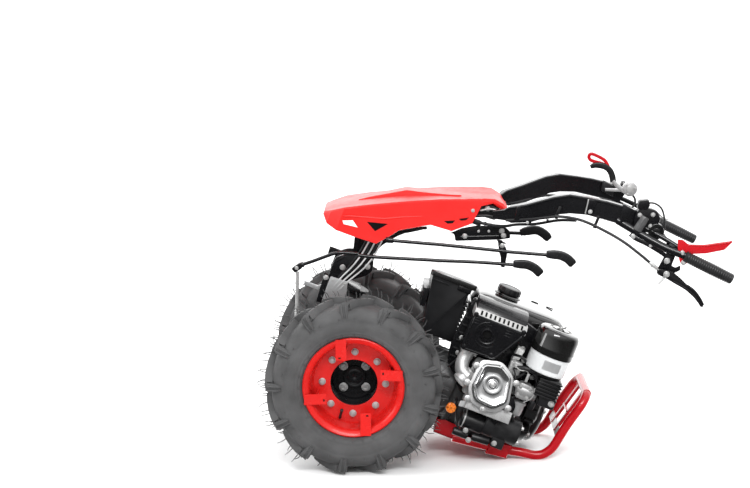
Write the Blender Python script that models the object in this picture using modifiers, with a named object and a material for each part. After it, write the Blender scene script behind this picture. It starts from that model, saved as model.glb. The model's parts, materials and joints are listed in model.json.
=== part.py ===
"""Walking tractor (two-wheel tractor), parked nose-down on its two wheels and its engine bumper.

Everything is modelled in the machine frame: X along the machine toward the engine, Y across it,
Z square to both, with the origin on the axle.  The stance empty then tips the machine forward
until the bumper rests on the floor.  Metres throughout.  Left is -Y, seen by someone who holds
the grips and looks at the machine.
"""
import math

import bmesh
import bpy
from mathutils import Matrix, Vector

# ---------------------------------------------------------------- sizes
GAP = 0.0003                # between pieces that are bolted together
RUNNING_GAP = 0.006         # between pieces that move past each other

# wheels
TYRE_RADIUS = 0.250
TYRE_WIDTH = 0.140
TRACK = 0.4694              # tyre centre to tyre centre
RIM_FLANGE_RADIUS = 0.1430
RIM_BARREL_RADIUS = 0.1265
RIM_HALF_WIDTH = 0.0505
RIM_WALL = 0.003
DISC_OFFSET = -0.0105       # outer face of the rim disc from the tyre's centre plane
DISC_THICKNESS = 0.004
DISC_HOLE_RADIUS = 0.0667
HUB_DEPTH = 0.0705          # from the disc's outer face down to the hub's face
HUB_FLANGE_RADIUS = RIM_BARREL_RADIUS - RIM_WALL - 0.0175
HUB_WALL = 0.006
STUB_RADIUS = 0.0175        # turning stub axle
STUB_LENGTH = 0.030

# gearbox and clutch housing
GEARBOX_HALF_WIDTH = 0.070
GEARBOX_REAR = -0.168
GEARBOX_FRONT = 0.118
GEARBOX_BOTTOM = -0.098
GEARBOX_TOP = 0.125
AXLE_TUBE_RADIUS = 0.040
CRANK_HEIGHT = 0.050        # crank line above the axle line
CLUTCH_RADIUS = 0.093
PTO_PLATE = 0.124           # square plate the tools bolt to
PTO_PLATE_THICKNESS = 0.014
PTO_BORE_RADIUS = 0.026

# engine
ENGINE_FRONT = 0.500        # fan end of the crankcase
ENGINE_REAR = 0.284
ENGINE_HALF_WIDTH = 0.105
ENGINE_BOTTOM = -0.076
ENGINE_TOP = 0.150
CYLINDER_TILT = math.radians(14.0)
CYLINDER_ALONG = 0.366      # place of the cylinder along the machine
CYLINDER_BASE = 0.088       # height of the cylinder line at the centre plane
CYLINDER_WIDTH = 0.128
TANK_TOP = 0.350
BOWL_BASE = 0.216           # air cleaner bowl
BOWL_TOP = 0.270
HEAD_FACE = 0.222           # head face from the centre plane, along the cylinder
VALVE_COVER_DEPTH = 0.030
STARTER_REAR = TYRE_RADIUS + 0.072
STARTER_JOINT = 0.392       # where the starter's slim rear half meets its wide front
BATTERY_HALF_WIDTH = 0.082
BATTERY_TOP = 0.360

# skid plate and bumper
SKID_REAR = 0.275
SKID_FRONT = 0.445
SKID_THICKNESS = 0.005
SKID_FLANGE = 0.036
BUMPER_TUBE_RADIUS = 0.0135
BUMPER_HALF_WIDTH = 0.127
BUMPER_LOW = (0.558, -0.036)       # the bend that rests on the floor
BUMPER_KNEE = (0.606, 0.014)
BUMPER_TOP = (0.647, 0.184)
BUMPER_REAR = (0.330, -0.0705)
BUMPER_BAR_OFFSET = 0.045
BUMPER_CORNER = 0.045

# steering column and handlebar
TURRET_X = -0.092           # line the handlebar swivels about
TURRET_RADIUS = 0.036
TURRET_TOP = 0.196
SPIGOT_RADIUS = 0.0150      # steering pin that the swivel bracket turns on
BRACKET_HALF_WIDTH = 0.046
BRACKET_WALL = 0.006
BRACKET_FLOOR = 0.016
PITCH_PIVOT = (-0.077, 0.286)
LOCK_BOLT = (-0.140, 0.267)
PIVOT_RADIUS = 0.008
BEAM_HALF_WIDTH = 0.032
ARM_ROOT = (0.200, 0.578)
ARM_WIDTH = 0.042
ARM_HEIGHT = 0.046
ARM_TUBE_RADIUS = 0.0135
GRIP_RADIUS = 0.0175
GRIP_HALF_SPREAD = 0.3156
GRIP_START = (0.707, 0.704)
GRIP_END = (0.846, 0.676)

# console cover, in its own frame: S along it from the tip, H up from the tip
CONSOLE_TIP = (-0.250, 0.385)
CONSOLE_RISE = math.radians(23.5)
CONSOLE_WALL = 0.003

ROD_SIDE = -0.130           # the two control rods lie this far out on the left
ROD_RADIUS = 0.0050
ROD_LAP = (-0.132, -0.118)  # stretch where the two halves of the lower rod lie side by side
REAR_ROD_INSET = 2 * ROD_RADIUS + 0.0008  # the rear half lies this far inboard of the front one
STAND_IN = 24               # facets round a plain cylinder

# ---------------------------------------------------------------- helpers
COLOURS = {
    "red_paint": ((0.78, 0.045, 0.030), 0.30, 0.0),
    "console_red": ((0.83, 0.055, 0.040), 0.32, 0.0),
    "bumper_red": ((0.62, 0.012, 0.018), 0.22, 0.0),
    "black_paint": ((0.012, 0.012, 0.013), 0.35, 0.0),
    "black_plastic": ((0.020, 0.020, 0.022), 0.55, 0.0),
    "gloss_black": ((0.008, 0.008, 0.009), 0.12, 0.0),
    "rubber": ((0.100, 0.100, 0.102), 0.85, 0.0),
    "grip_rubber": ((0.018, 0.018, 0.019), 0.80, 0.0),
    "cast_aluminium": ((0.52, 0.53, 0.54), 0.42, 0.9),
    "bright_metal": ((0.78, 0.79, 0.80), 0.18, 1.0),
    "grey_plastic": ((0.45, 0.46, 0.47), 0.40, 0.0),
    "cast_iron": ((0.030, 0.030, 0.032), 0.55, 0.3),
}


def material(name):
    """One Principled material for each colour, made the first time it is asked for."""
    if name in bpy.data.materials:
        return bpy.data.materials[name]
    colour, roughness, metallic = COLOURS[name]
    mat = bpy.data.materials.new(name)
    mat.use_nodes = True
    shader = mat.node_tree.nodes["Principled BSDF"]
    shader.inputs["Base Color"].default_value = (*colour, 1.0)
    shader.inputs["Roughness"].default_value = roughness
    shader.inputs["Metallic"].default_value = metallic
    mat.diffuse_color = (*colour, 1.0)
    return mat


def empty(name, parent, place=(0.0, 0.0, 0.0)):
    """An empty at a place of the machine frame."""
    obj = bpy.data.objects.new(name, None)
    bpy.context.scene.collection.objects.link(obj)
    obj.empty_display_size = 0.05
    obj["place"] = place
    if parent is not None:
        obj.parent = parent
        obj.location = Vector(place) - Vector(parent["place"])
    return obj


def put(name, mesh, colour, parent):
    """Link a mesh made in machine coordinates under a body's empty."""
    obj = bpy.data.objects.new(name, mesh)
    bpy.context.scene.collection.objects.link(obj)
    mesh.materials.clear()
    mesh.materials.append(material(colour))
    obj.parent = parent
    obj.location = -Vector(parent["place"])
    return obj


def mesh_of(bm, name):
    """Turn a bmesh into a mesh with outward normals."""
    bmesh.ops.recalc_face_normals(bm, faces=bm.faces)
    mesh = bpy.data.meshes.new(name)
    bm.to_mesh(mesh)
    bm.free()
    return mesh


def box(name, low, high, colour, parent, bevel=0.0):
    """A block between two corners, its edges rounded by bevel."""
    bm = bmesh.new()
    bmesh.ops.create_cube(bm, size=1.0)
    for vert in bm.verts:
        for axis in range(3):
            vert.co[axis] = high[axis] if vert.co[axis] > 0 else low[axis]
    if bevel:
        bmesh.ops.bevel(bm, geom=list(bm.edges), offset=bevel, segments=2, profile=0.5,
                        affect="EDGES")
    return put(name, mesh_of(bm, name), colour, parent)


def plate(name, outline, y0, y1, colour, parent, bevel=0.0):
    """A side-view outline (x, z) made solid between two distances across the machine."""
    bm = bmesh.new()
    face = bm.faces.new([bm.verts.new((x, y0, z)) for x, z in outline])
    grown = bmesh.ops.extrude_face_region(bm, geom=[face])
    for vert in (g for g in grown["geom"] if isinstance(g, bmesh.types.BMVert)):
        vert.co.y = y1
    if bevel:
        bmesh.ops.bevel(bm, geom=list(bm.edges), offset=bevel, segments=2, profile=0.5,
                        affect="EDGES")
    return put(name, mesh_of(bm, name), colour, parent)


def rod_mesh(start, end, radius, end_radius=None, facets=STAND_IN):
    """A straight round bar between two points."""
    start, end = Vector(start), Vector(end)
    bm = bmesh.new()
    bmesh.ops.create_cone(bm, cap_ends=True, segments=facets, radius1=radius,
                          radius2=radius if end_radius is None else end_radius,
                          depth=(end - start).length)
    turn = (end - start).to_track_quat("Z", "Y").to_matrix().to_4x4()
    bmesh.ops.transform(bm, matrix=Matrix.Translation((start + end) / 2) @ turn, verts=bm.verts)
    return mesh_of(bm, "rod")


def rod(name, start, end, radius, colour, parent, end_radius=None, facets=STAND_IN):
    return put(name, rod_mesh(start, end, radius, end_radius, facets), colour, parent)


def tube(name, points, radius, colour, parent, smooth=False, sides=2):
    """A round tube along a run of points, capped at both ends."""
    curve = bpy.data.curves.new(name, "CURVE")
    curve.dimensions = "3D"
    curve.bevel_depth = radius
    curve.bevel_resolution = sides
    curve.use_fill_caps = True
    curve.resolution_u = 4
    spline = curve.splines.new("BEZIER" if smooth else "POLY")
    if smooth:
        spline.bezier_points.add(len(points) - 1)
        for node, point in zip(spline.bezier_points, points):
            node.co = point
            node.handle_left_type = node.handle_right_type = "AUTO"
    else:
        spline.points.add(len(points) - 1)
        for node, point in zip(spline.points, points):
            node.co = (*point, 1.0)
    source = bpy.data.objects.new(name + "_line", curve)
    bpy.context.scene.collection.objects.link(source)
    bpy.context.view_layer.update()
    depsgraph = bpy.context.evaluated_depsgraph_get()
    mesh = bpy.data.meshes.new_from_object(source.evaluated_get(depsgraph))
    bpy.data.objects.remove(source)
    bm = bmesh.new()
    bm.from_mesh(mesh)
    bmesh.ops.remove_doubles(bm, verts=bm.verts, dist=1e-5)
    return put(name, mesh_of(bm, name), colour, parent)


def turned(name, profile, side, colour, parent, facets=48):
    """A closed (radius, out) profile turned about the axle line, on one side of the machine."""
    bm = bmesh.new()
    rings = []
    for radius, out in profile:
        rings.append([bm.verts.new((radius * math.cos(2 * math.pi * k / facets), side * out,
                                    radius * math.sin(2 * math.pi * k / facets)))
                      if radius > 0 else None for k in range(facets)])
    for ring, following in zip(rings, rings[1:] + rings[:1]):
        for k in range(facets):
            nxt = (k + 1) % facets
            bm.faces.new([ring[k], ring[nxt], following[nxt], following[k]])
    return put(name, mesh_of(bm, name), colour, parent)


def combine(target, others, operation):
    """Join or cut with exact Booleans; the other shapes stay as hidden construction."""
    for other in others:
        step = target.modifiers.new(other.name, "BOOLEAN")
        step.operation = operation
        step.solver = "EXACT"
        step.object = other
        other.hide_render = True
        other.display_type = "WIRE"
    return target


def unite(target, *others):
    return combine(target, others, "UNION")


def cut(target, *others):
    return combine(target, others, "DIFFERENCE")


def arc(cx, cz, radius, start, end, steps):
    """Points of an arc in side view, angles in degrees."""
    return [(cx + radius * math.cos(math.radians(start + (end - start) * k / steps)),
             cz + radius * math.sin(math.radians(start + (end - start) * k / steps)))
            for k in range(steps + 1)]


# ---------------------------------------------------------------- wheels
def tyre_profile():
    """Solid tyre outline: beads inside the rim flanges, then sidewalls and a flat crown."""
    half = TYRE_WIDTH / 2
    bead = RIM_HALF_WIDTH - RIM_WALL - 0.001
    side = [(RIM_BARREL_RADIUS + GAP, bead - 0.004), (RIM_FLANGE_RADIUS, bead - 0.004),
            (RIM_FLANGE_RADIUS + 0.004, RIM_HALF_WIDTH + 0.002),
            (0.175, half - 0.004), (0.200, half), (0.228, half - 0.003),
            (TYRE_RADIUS - 0.006, half - 0.012), (TYRE_RADIUS, half - 0.026)]
    return side + [(radius, -out) for radius, out in reversed(side)]


def rim_profile():
    """Pressed rim: two flanges, a barrel and the disc with its centre hole."""
    inner = RIM_BARREL_RADIUS - RIM_WALL
    disc_back = DISC_OFFSET - DISC_THICKNESS
    lip = RIM_HALF_WIDTH - RIM_WALL
    return [(RIM_FLANGE_RADIUS, RIM_HALF_WIDTH), (RIM_FLANGE_RADIUS, lip),
            (RIM_BARREL_RADIUS, lip - 0.001), (RIM_BARREL_RADIUS, -lip + 0.001),
            (RIM_FLANGE_RADIUS, -lip), (RIM_FLANGE_RADIUS, -RIM_HALF_WIDTH),
            (inner, -RIM_HALF_WIDTH + 0.001), (inner, disc_back),
            (DISC_HOLE_RADIUS, disc_back), (DISC_HOLE_RADIUS, DISC_OFFSET),
            (inner, DISC_OFFSET), (inner, RIM_HALF_WIDTH - 0.001)]


def hub_mesh_profile():
    """Cup-shaped hub behind the disc, seen through the disc's hole, down to its floor."""
    top = DISC_OFFSET - DISC_THICKNESS - GAP
    face = DISC_OFFSET - HUB_DEPTH
    cup = DISC_HOLE_RADIUS - 0.002
    return [(HUB_FLANGE_RADIUS, top), (HUB_FLANGE_RADIUS, top - HUB_WALL),
            (cup + HUB_WALL, top - HUB_WALL), (cup + HUB_WALL, face - HUB_WALL),
            (0.004, face - HUB_WALL), (0.004, face), (cup, face), (cup, top)]


def wheel(side, suffix, body):
    """Tyre, rim and hub of one side; profiles are shifted to the tyre's centre plane."""
    centre = TRACK / 2

    def shifted(profile):
        return [(radius, out + centre) for radius, out in profile]

    turned("tyre_" + suffix, shifted(tyre_profile()), side, "rubber", body, 64)
    turned("rim_" + suffix, shifted(rim_profile()), side, "red_paint", body, 48)
    hub = turned("hub_" + suffix, shifted(hub_mesh_profile()), side, "black_paint", body, 48)
    face = centre + DISC_OFFSET - HUB_DEPTH
    boss = rod("hub_boss_" + suffix, (0, side * (face - HUB_WALL - STUB_LENGTH), 0),
               (0, side * (face + 0.006), 0), STUB_RADIUS, "black_paint", body)
    return unite(hub, boss)


# ---------------------------------------------------------------- gearbox and clutch
def gearbox(body):
    """Gearbox casting with its axle tubes, tool flange, clutch housing and steering post."""
    rear, front = GEARBOX_REAR, GEARBOX_FRONT
    low, high = GEARBOX_BOTTOM, GEARBOX_TOP
    outline = [(rear, -0.060), (rear + 0.045, low), (0.070, low), (front, -0.055),
               (front, high - 0.010), (0.060, high), (-0.150, high), (rear, high - 0.030)]
    case = plate("gearbox", outline, -GEARBOX_HALF_WIDTH, GEARBOX_HALF_WIDTH, "cast_iron", body,
                 0.006)
    hub_back = TRACK / 2 + DISC_OFFSET - HUB_DEPTH - HUB_WALL
    tube_end = hub_back - RUNNING_GAP
    for side, suffix in ((-1, "left"), (1, "right")):
        axle = rod("axle_tube_" + suffix, (0, side * (GEARBOX_HALF_WIDTH + GAP), 0),
                   (0, side * tube_end, 0), AXLE_TUBE_RADIUS + 0.012, "cast_iron", body,
                   AXLE_TUBE_RADIUS, 32)
        bore = rod("axle_bore_" + suffix, (0, side * (hub_back - STUB_LENGTH - 0.004), 0),
                   (0, side * (tube_end + 0.01), 0), STUB_RADIUS + 0.0015, "cast_iron", body)
        cut(axle, bore)
    half = PTO_PLATE / 2
    flange = box("pto_flange", (rear - GAP - PTO_PLATE_THICKNESS, -half, -half),
                 (rear - GAP, half, half), "cast_aluminium", body, 0.002)
    cut(flange, rod("pto_bore", (rear - 0.05, 0, 0), (rear + 0.05, 0, 0), PTO_BORE_RADIUS,
                    "cast_aluminium", body))
    rod("clutch_housing", (front + GAP, 0, CRANK_HEIGHT), (ENGINE_REAR - GAP, 0, CRANK_HEIGHT),
        CLUTCH_RADIUS - 0.018, "cast_aluminium", body, CLUTCH_RADIUS, 32)
    post = rod("turret_post", (TURRET_X, 0, high + GAP), (TURRET_X, 0, TURRET_TOP), TURRET_RADIUS,
               "black_paint", body, facets=32)
    spigot = rod("turret_spigot", (TURRET_X, 0, TURRET_TOP - 0.020),
                 (TURRET_X, 0, TURRET_TOP + RUNNING_GAP + BRACKET_FLOOR - 0.002), SPIGOT_RADIUS,
                 "black_paint", body)
    return case, unite(post, spigot)


# ---------------------------------------------------------------- engine
def engine(body):
    """Single-cylinder engine whose cylinder leans out to the left and slightly up."""
    half = ENGINE_HALF_WIDTH
    box("crankcase", (ENGINE_REAR, -half, ENGINE_BOTTOM), (ENGINE_FRONT, half, ENGINE_TOP),
        "cast_aluminium", body, 0.010)
    lean = Matrix.Translation((CYLINDER_ALONG, 0, CYLINDER_BASE)) @ Matrix.Rotation(-CYLINDER_TILT, 4, "X")

    def leaning_box(name, out0, out1, width, height, colour, bevel, lift=0.0):
        """A block square to the cylinder line, between two distances out from the centre."""
        obj = box(name, (-width / 2, -out1, lift - height / 2), (width / 2, -out0, lift + height / 2),
                  colour, body, bevel)
        obj.data.transform(lean)
        return obj

    start = (half + 0.024) / math.cos(CYLINDER_TILT) + 0.012
    leaning_box("cylinder_head", start, HEAD_FACE, CYLINDER_WIDTH, 0.118, "cast_aluminium", 0.006)
    leaning_box("valve_cover", HEAD_FACE + GAP, HEAD_FACE + VALVE_COVER_DEPTH, 0.118, 0.100,
                "bright_metal", 0.011)
    # fuel tank and cap
    box("fuel_tank", (0.235, -0.098, 0.238), (0.525, 0.140, TANK_TOP), "gloss_black", body, 0.026)
    rod("fuel_cap", (0.340, 0.020, TANK_TOP + GAP), (0.340, 0.020, TANK_TOP + 0.027), 0.036,
        "black_plastic", body, 0.033)
    # muffler on its elbow, with the pressed guard in front
    outline = [(0.242, 0.197), (0.346, 0.200), (0.372, 0.246), (0.396, 0.288), (0.405, 0.318),
               (0.244, 0.324)]
    plate("muffler", outline, -0.205, -0.106, "black_paint", body, 0.006)
    tube("exhaust_elbow", [(0.277, -0.152, 0.1965), (0.277, -0.152, 0.176), (0.280, -0.152, 0.160),
                           (0.288, -0.152, 0.146)], 0.014, "cast_aluminium", body)
    # air cleaner: plastic cap over a pale bowl on a ribbed foot, and the carburettor behind it
    across = -0.166
    along = 0.492
    rod("air_cleaner_cap", (along, across, BOWL_TOP), (along, across, 0.348), 0.064,
        "gloss_black", body, 0.052, 36)
    rod("air_cleaner_bowl", (along, across, BOWL_BASE), (along, across, BOWL_TOP - GAP), 0.058,
        "grey_plastic", body, 0.060, 36)
    box("air_cleaner_foot", (along - 0.008, across - 0.050, 0.124),
        (along + 0.066, across + 0.050, BOWL_BASE - GAP), "black_plastic", body, 0.008)
    box("carburettor", (0.440, -0.194, 0.098), (0.482, -0.134, 0.160), "cast_aluminium", body,
        0.006)
    # fan end
    centre = 0.060
    shroud = arc(0.010, centre, 0.128, 0, 180, 12) + arc(0.010, centre - 0.010, 0.095, 190, 350, 10)
    bm = bmesh.new()
    face = bm.faces.new([bm.verts.new((ENGINE_FRONT + GAP, y, z)) for y, z in shroud])
    grown = bmesh.ops.extrude_face_region(bm, geom=[face])
    for vert in (g for g in grown["geom"] if isinstance(g, bmesh.types.BMVert)):
        vert.co.x = ENGINE_FRONT + 0.040
    put("fan_shroud", mesh_of(bm, "fan_shroud"), "black_plastic", body)
    rod("recoil_starter", (ENGINE_FRONT + 0.040 + GAP, 0.010, centre - 0.010),
        (ENGINE_FRONT + 0.064, 0.010, centre - 0.010), 0.084, "black_plastic", body, 0.072, 36)
    # electric starter under the head
    motor = rod("starter_motor", (STARTER_REAR, -0.164, 0.004), (0.440, -0.164, 0.004), 0.028,
                "black_paint", body)
    unite(motor, rod("starter_front", (STARTER_JOINT, -0.160, 0.016), (0.497, -0.160, 0.016), 0.038,
                     "black_paint", body, facets=32))
    # battery box over the clutch housing
    half = BATTERY_HALF_WIDTH
    lid = BATTERY_TOP - 0.010
    outline = [(0.103, lid), (0.107, 0.330), (0.136, 0.190), (0.148, 0.176), (0.231, 0.176),
               (0.227, 0.218), (0.220, 0.300), (0.222, 0.330), (0.230, lid)]
    plate("battery_box", outline, -half, half, "black_paint", body, 0.004)
    box("battery_lid", (0.097, -half - 0.003, lid + GAP), (0.2345, half + 0.003, BATTERY_TOP),
        "black_plastic", body, 0.003)


# ---------------------------------------------------------------- skid plate and bumper
def bumper(body):
    """Skid plate under the engine and the tube bumper that the machine leans on."""
    low = ENGINE_BOTTOM - GAP - SKID_THICKNESS
    half = BUMPER_HALF_WIDTH - BUMPER_TUBE_RADIUS - 0.004
    skid = box("skid_plate", (SKID_REAR, -half, low), (SKID_FRONT, half, low + SKID_THICKNESS),
               "bumper_red", body)
    wall = BUMPER_TUBE_RADIUS
    low_x, low_z = BUMPER_LOW
    knee_x, knee_z = BUMPER_KNEE
    top_x, top_z = BUMPER_TOP
    rise = Vector((top_x - knee_x, 0, top_z - knee_z)).normalized()
    rounded = BUMPER_CORNER

    def leg(side, inset):
        y = side * (BUMPER_HALF_WIDTH - inset)
        return [(BUMPER_REAR[0], y, BUMPER_REAR[1]), (low_x - 0.10, y, low_z - 0.012),
                (low_x - 0.03, y, low_z - 0.004), (low_x, y, low_z),
                (low_x + 0.022, y, low_z + 0.014), (knee_x - 0.008, y, knee_z - 0.022),
                (knee_x, y, knee_z)]

    def corner(side):
        """Rounded upper corner of the hoop, from the leg round to the cross tube."""
        points = []
        for k in range(5):
            turn = math.radians(90 * k / 4)
            up = rise * (rounded * math.sin(turn) - rounded)
            across = BUMPER_HALF_WIDTH - rounded + rounded * math.cos(turn)
            points.append((top_x + up.x, side * across, top_z + up.z))
        return points

    path = leg(-1, 0) + corner(-1) + corner(1)[::-1] + leg(1, 0)[::-1]
    hoop = tube("bumper", path, wall, "bumper_red", body, sides=3)
    bar_end = Vector((top_x, 0, top_z))
    bar_start = Vector((knee_x, 0, knee_z)) - rise * 0.030
    bars = []
    for side in (-1, 1):
        y = side * BUMPER_BAR_OFFSET
        bars.append(tube("bumper_bar_%d" % side, [(bar_start.x, y, bar_start.z),
                                                 (bar_end.x, y, bar_end.z)], wall * 0.75,
                         "bumper_red", body))
    middle = Vector((knee_x, 0, knee_z)).lerp(bar_end, 0.52)
    bars.append(tube("bumper_rung", [(middle.x, -BUMPER_BAR_OFFSET, middle.z),
                                     (middle.x, BUMPER_BAR_OFFSET, middle.z)], wall * 0.75,
                     "bumper_red", body))
    strap = box("bumper_strap", (-0.004, -BUMPER_HALF_WIDTH, -0.016), (0.004, BUMPER_HALF_WIDTH, 0.016),
                "bumper_red", body)
    strap.data.transform(Matrix.Translation(bar_start + rise * 0.014)
                         @ Matrix.Rotation(math.atan2(rise.x, rise.z), 4, "Y"))
    unite(hoop, *bars, strap)
    return skid, hoop


# ---------------------------------------------------------------- steering column and handlebar
def swivel_bracket(body):
    """U-bracket that swings on the steering post and holds the pitch pivot and height lock."""
    floor = TURRET_TOP + RUNNING_GAP
    y = BRACKET_HALF_WIDTH
    base = rod("swivel_bracket", (TURRET_X, 0, floor), (TURRET_X, 0, floor + BRACKET_FLOOR),
               TURRET_RADIUS + 0.014, "black_paint", body, facets=32)
    cheek = [(-0.150, floor + 0.006), (-0.046, floor + 0.006), (-0.056, 0.283), (-0.062, 0.316),
             (-0.095, 0.322), (-0.145, 0.306), (-0.174, 0.282), (-0.172, 0.240)]
    sides = [plate("swivel_cheek_%d" % side, cheek, side * (y - BRACKET_WALL), side * y,
                   "black_paint", body) for side in (-1, 1)]
    pins = [rod("pitch_pin", (PITCH_PIVOT[0], -y - 0.004, PITCH_PIVOT[1]),
                (PITCH_PIVOT[0], y + 0.004, PITCH_PIVOT[1]), PIVOT_RADIUS, "bright_metal", body)]
    unite(base, *sides, *pins)
    return cut(base, rod("spigot_bore", (TURRET_X, 0, floor - 0.01),
                         (TURRET_X, 0, floor + BRACKET_FLOOR + 0.01), SPIGOT_RADIUS + 0.001,
                         "black_paint", body))


def beam(body):
    """Bent box beam from the pitch pivot, under the console, to the cross plate of the arms."""
    px, pz = PITCH_PIVOT
    half = BEAM_HALF_WIDTH
    outline = ([(px - 0.024, pz - 0.010), (px - 0.014, pz - 0.022), (px + 0.008, pz - 0.024),
                (px + 0.026, pz - 0.008)]
               + [(-0.050, 0.330), (-0.056, 0.362), (-0.026, 0.400), (0.060, 0.438), (0.190, 0.498),
                  (0.236, 0.548), (0.228, 0.562), (0.180, 0.536), (0.040, 0.468), (-0.040, 0.428),
                  (-0.110, 0.396), (-0.136, 0.366), (-0.128, 0.318)])
    body_plate = plate("column_beam", outline, -half, half, "black_paint", body)
    pin_hole = rod("pitch_hole", (px, -half - 0.01, pz), (px, half + 0.01, pz),
                   PIVOT_RADIUS + 0.0005, "black_paint", body)
    cross = box("arm_cross", (ARM_ROOT[0] - 0.004, -0.128, 0.540), (ARM_ROOT[0] + 0.034, 0.128, 0.566),
                "black_paint", body)
    cut(body_plate, pin_hole)
    return unite(body_plate, cross)


def console(body):
    """Thin cover lofted along its own axis: (S, lower edge, shoulder, ridge, half width)."""
    stations = [(0.002, -0.012, 0.004, 0.006, 0.050), (0.030, -0.029, 0.022, 0.024, 0.088),
                (0.060, -0.042, 0.033, 0.036, 0.106), (0.098, -0.057, 0.035, 0.042, 0.118),
                (0.150, -0.073, 0.037, 0.050, 0.126), (0.216, -0.038, 0.040, 0.056, 0.130),
                (0.278, -0.031, 0.041, 0.054, 0.130), (0.315, -0.027, 0.040, 0.049, 0.128),
                (0.361, -0.045, 0.038, 0.044, 0.124), (0.429, -0.019, 0.034, 0.040, 0.116),
                (0.470, 0.002, 0.032, 0.038, 0.104), (0.500, 0.010, 0.030, 0.034, 0.092)]
    frame = (Matrix.Translation((CONSOLE_TIP[0], 0, CONSOLE_TIP[1]))
             @ Matrix.Rotation(-CONSOLE_RISE, 4, "Y"))
    bm = bmesh.new()
    rows = []
    for along, low, shoulder, ridge, half in stations:
        inset = half * 0.82
        section = [(-half, low), (-half, (low + shoulder) / 2), (-half * 0.97, shoulder - 0.006),
                   (-inset, shoulder), (-half * 0.38, ridge), (half * 0.38, ridge),
                   (inset, shoulder), (half * 0.97, shoulder - 0.006), (half, (low + shoulder) / 2),
                   (half, low)]
        rows.append([bm.verts.new(frame @ Vector((along, y, z))) for y, z in section])
    for row, following in zip(rows, rows[1:]):
        for k in range(len(row) - 1):
            bm.faces.new([row[k], row[k + 1], following[k + 1], following[k]])
    bm.faces.new(rows[0][::-1])
    cover = put("console_cover", mesh_of(bm, "console_cover"), "console_red", body)
    shell = cover.modifiers.new("wall", "SOLIDIFY")
    shell.thickness = CONSOLE_WALL
    shell.offset = 0.0
    shell.use_even_offset = True
    return cover


def arm(side, suffix, body):
    """One handlebar arm: box-section cover, bare tube and rubber grip."""
    stations = [((0.210, 0.596), 0.150), ((0.300, 0.656), 0.176), ((0.372, 0.696), 0.196),
                ((0.420, 0.708), 0.210), ((0.505, 0.718), 0.238)]
    bm = bmesh.new()
    rows = []
    for k, ((x, z), y) in enumerate(stations):
        (x0, z0), y0 = stations[max(k - 1, 0)]
        (x1, z1), y1 = stations[min(k + 1, len(stations) - 1)]
        along = Vector((x1 - x0, side * (y1 - y0), z1 - z0)).normalized()
        across = along.cross(Vector((0, 0, 1))).normalized()
        up = across.cross(along)
        centre = Vector((x, side * y, z))
        rows.append([bm.verts.new(centre + across * a * ARM_WIDTH / 2 + up * b * ARM_HEIGHT / 2)
                     for a, b in ((-1, -1), (1, -1), (1, 0.6), (0.6, 1), (-0.6, 1), (-1, 0.6))])
    for row, following in zip(rows, rows[1:]):
        for k in range(len(row)):
            nxt = (k + 1) % len(row)
            bm.faces.new([row[k], row[nxt], following[nxt], following[k]])
    bm.faces.new(rows[0][::-1])
    bm.faces.new(rows[-1])
    put("arm_" + suffix, mesh_of(bm, "arm"), "black_plastic", body)
    grip0 = Vector((GRIP_START[0], side * GRIP_HALF_SPREAD, GRIP_START[1]))
    grip1 = Vector((GRIP_END[0], side * GRIP_HALF_SPREAD, GRIP_END[1]))
    back = (grip0 - grip1).normalized()
    tube("arm_tube_" + suffix,
         [(0.509, side * 0.2400, 0.7185), (0.580, side * 0.268, 0.718),
          (0.640, side * 0.294, 0.715), tuple(grip0 + back * 0.022), tuple(grip0 + back * GAP)],
         ARM_TUBE_RADIUS, "black_paint", body, sides=3)
    rod("grip_" + suffix, grip0, grip1, GRIP_RADIUS, "grip_rubber", body)


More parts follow.
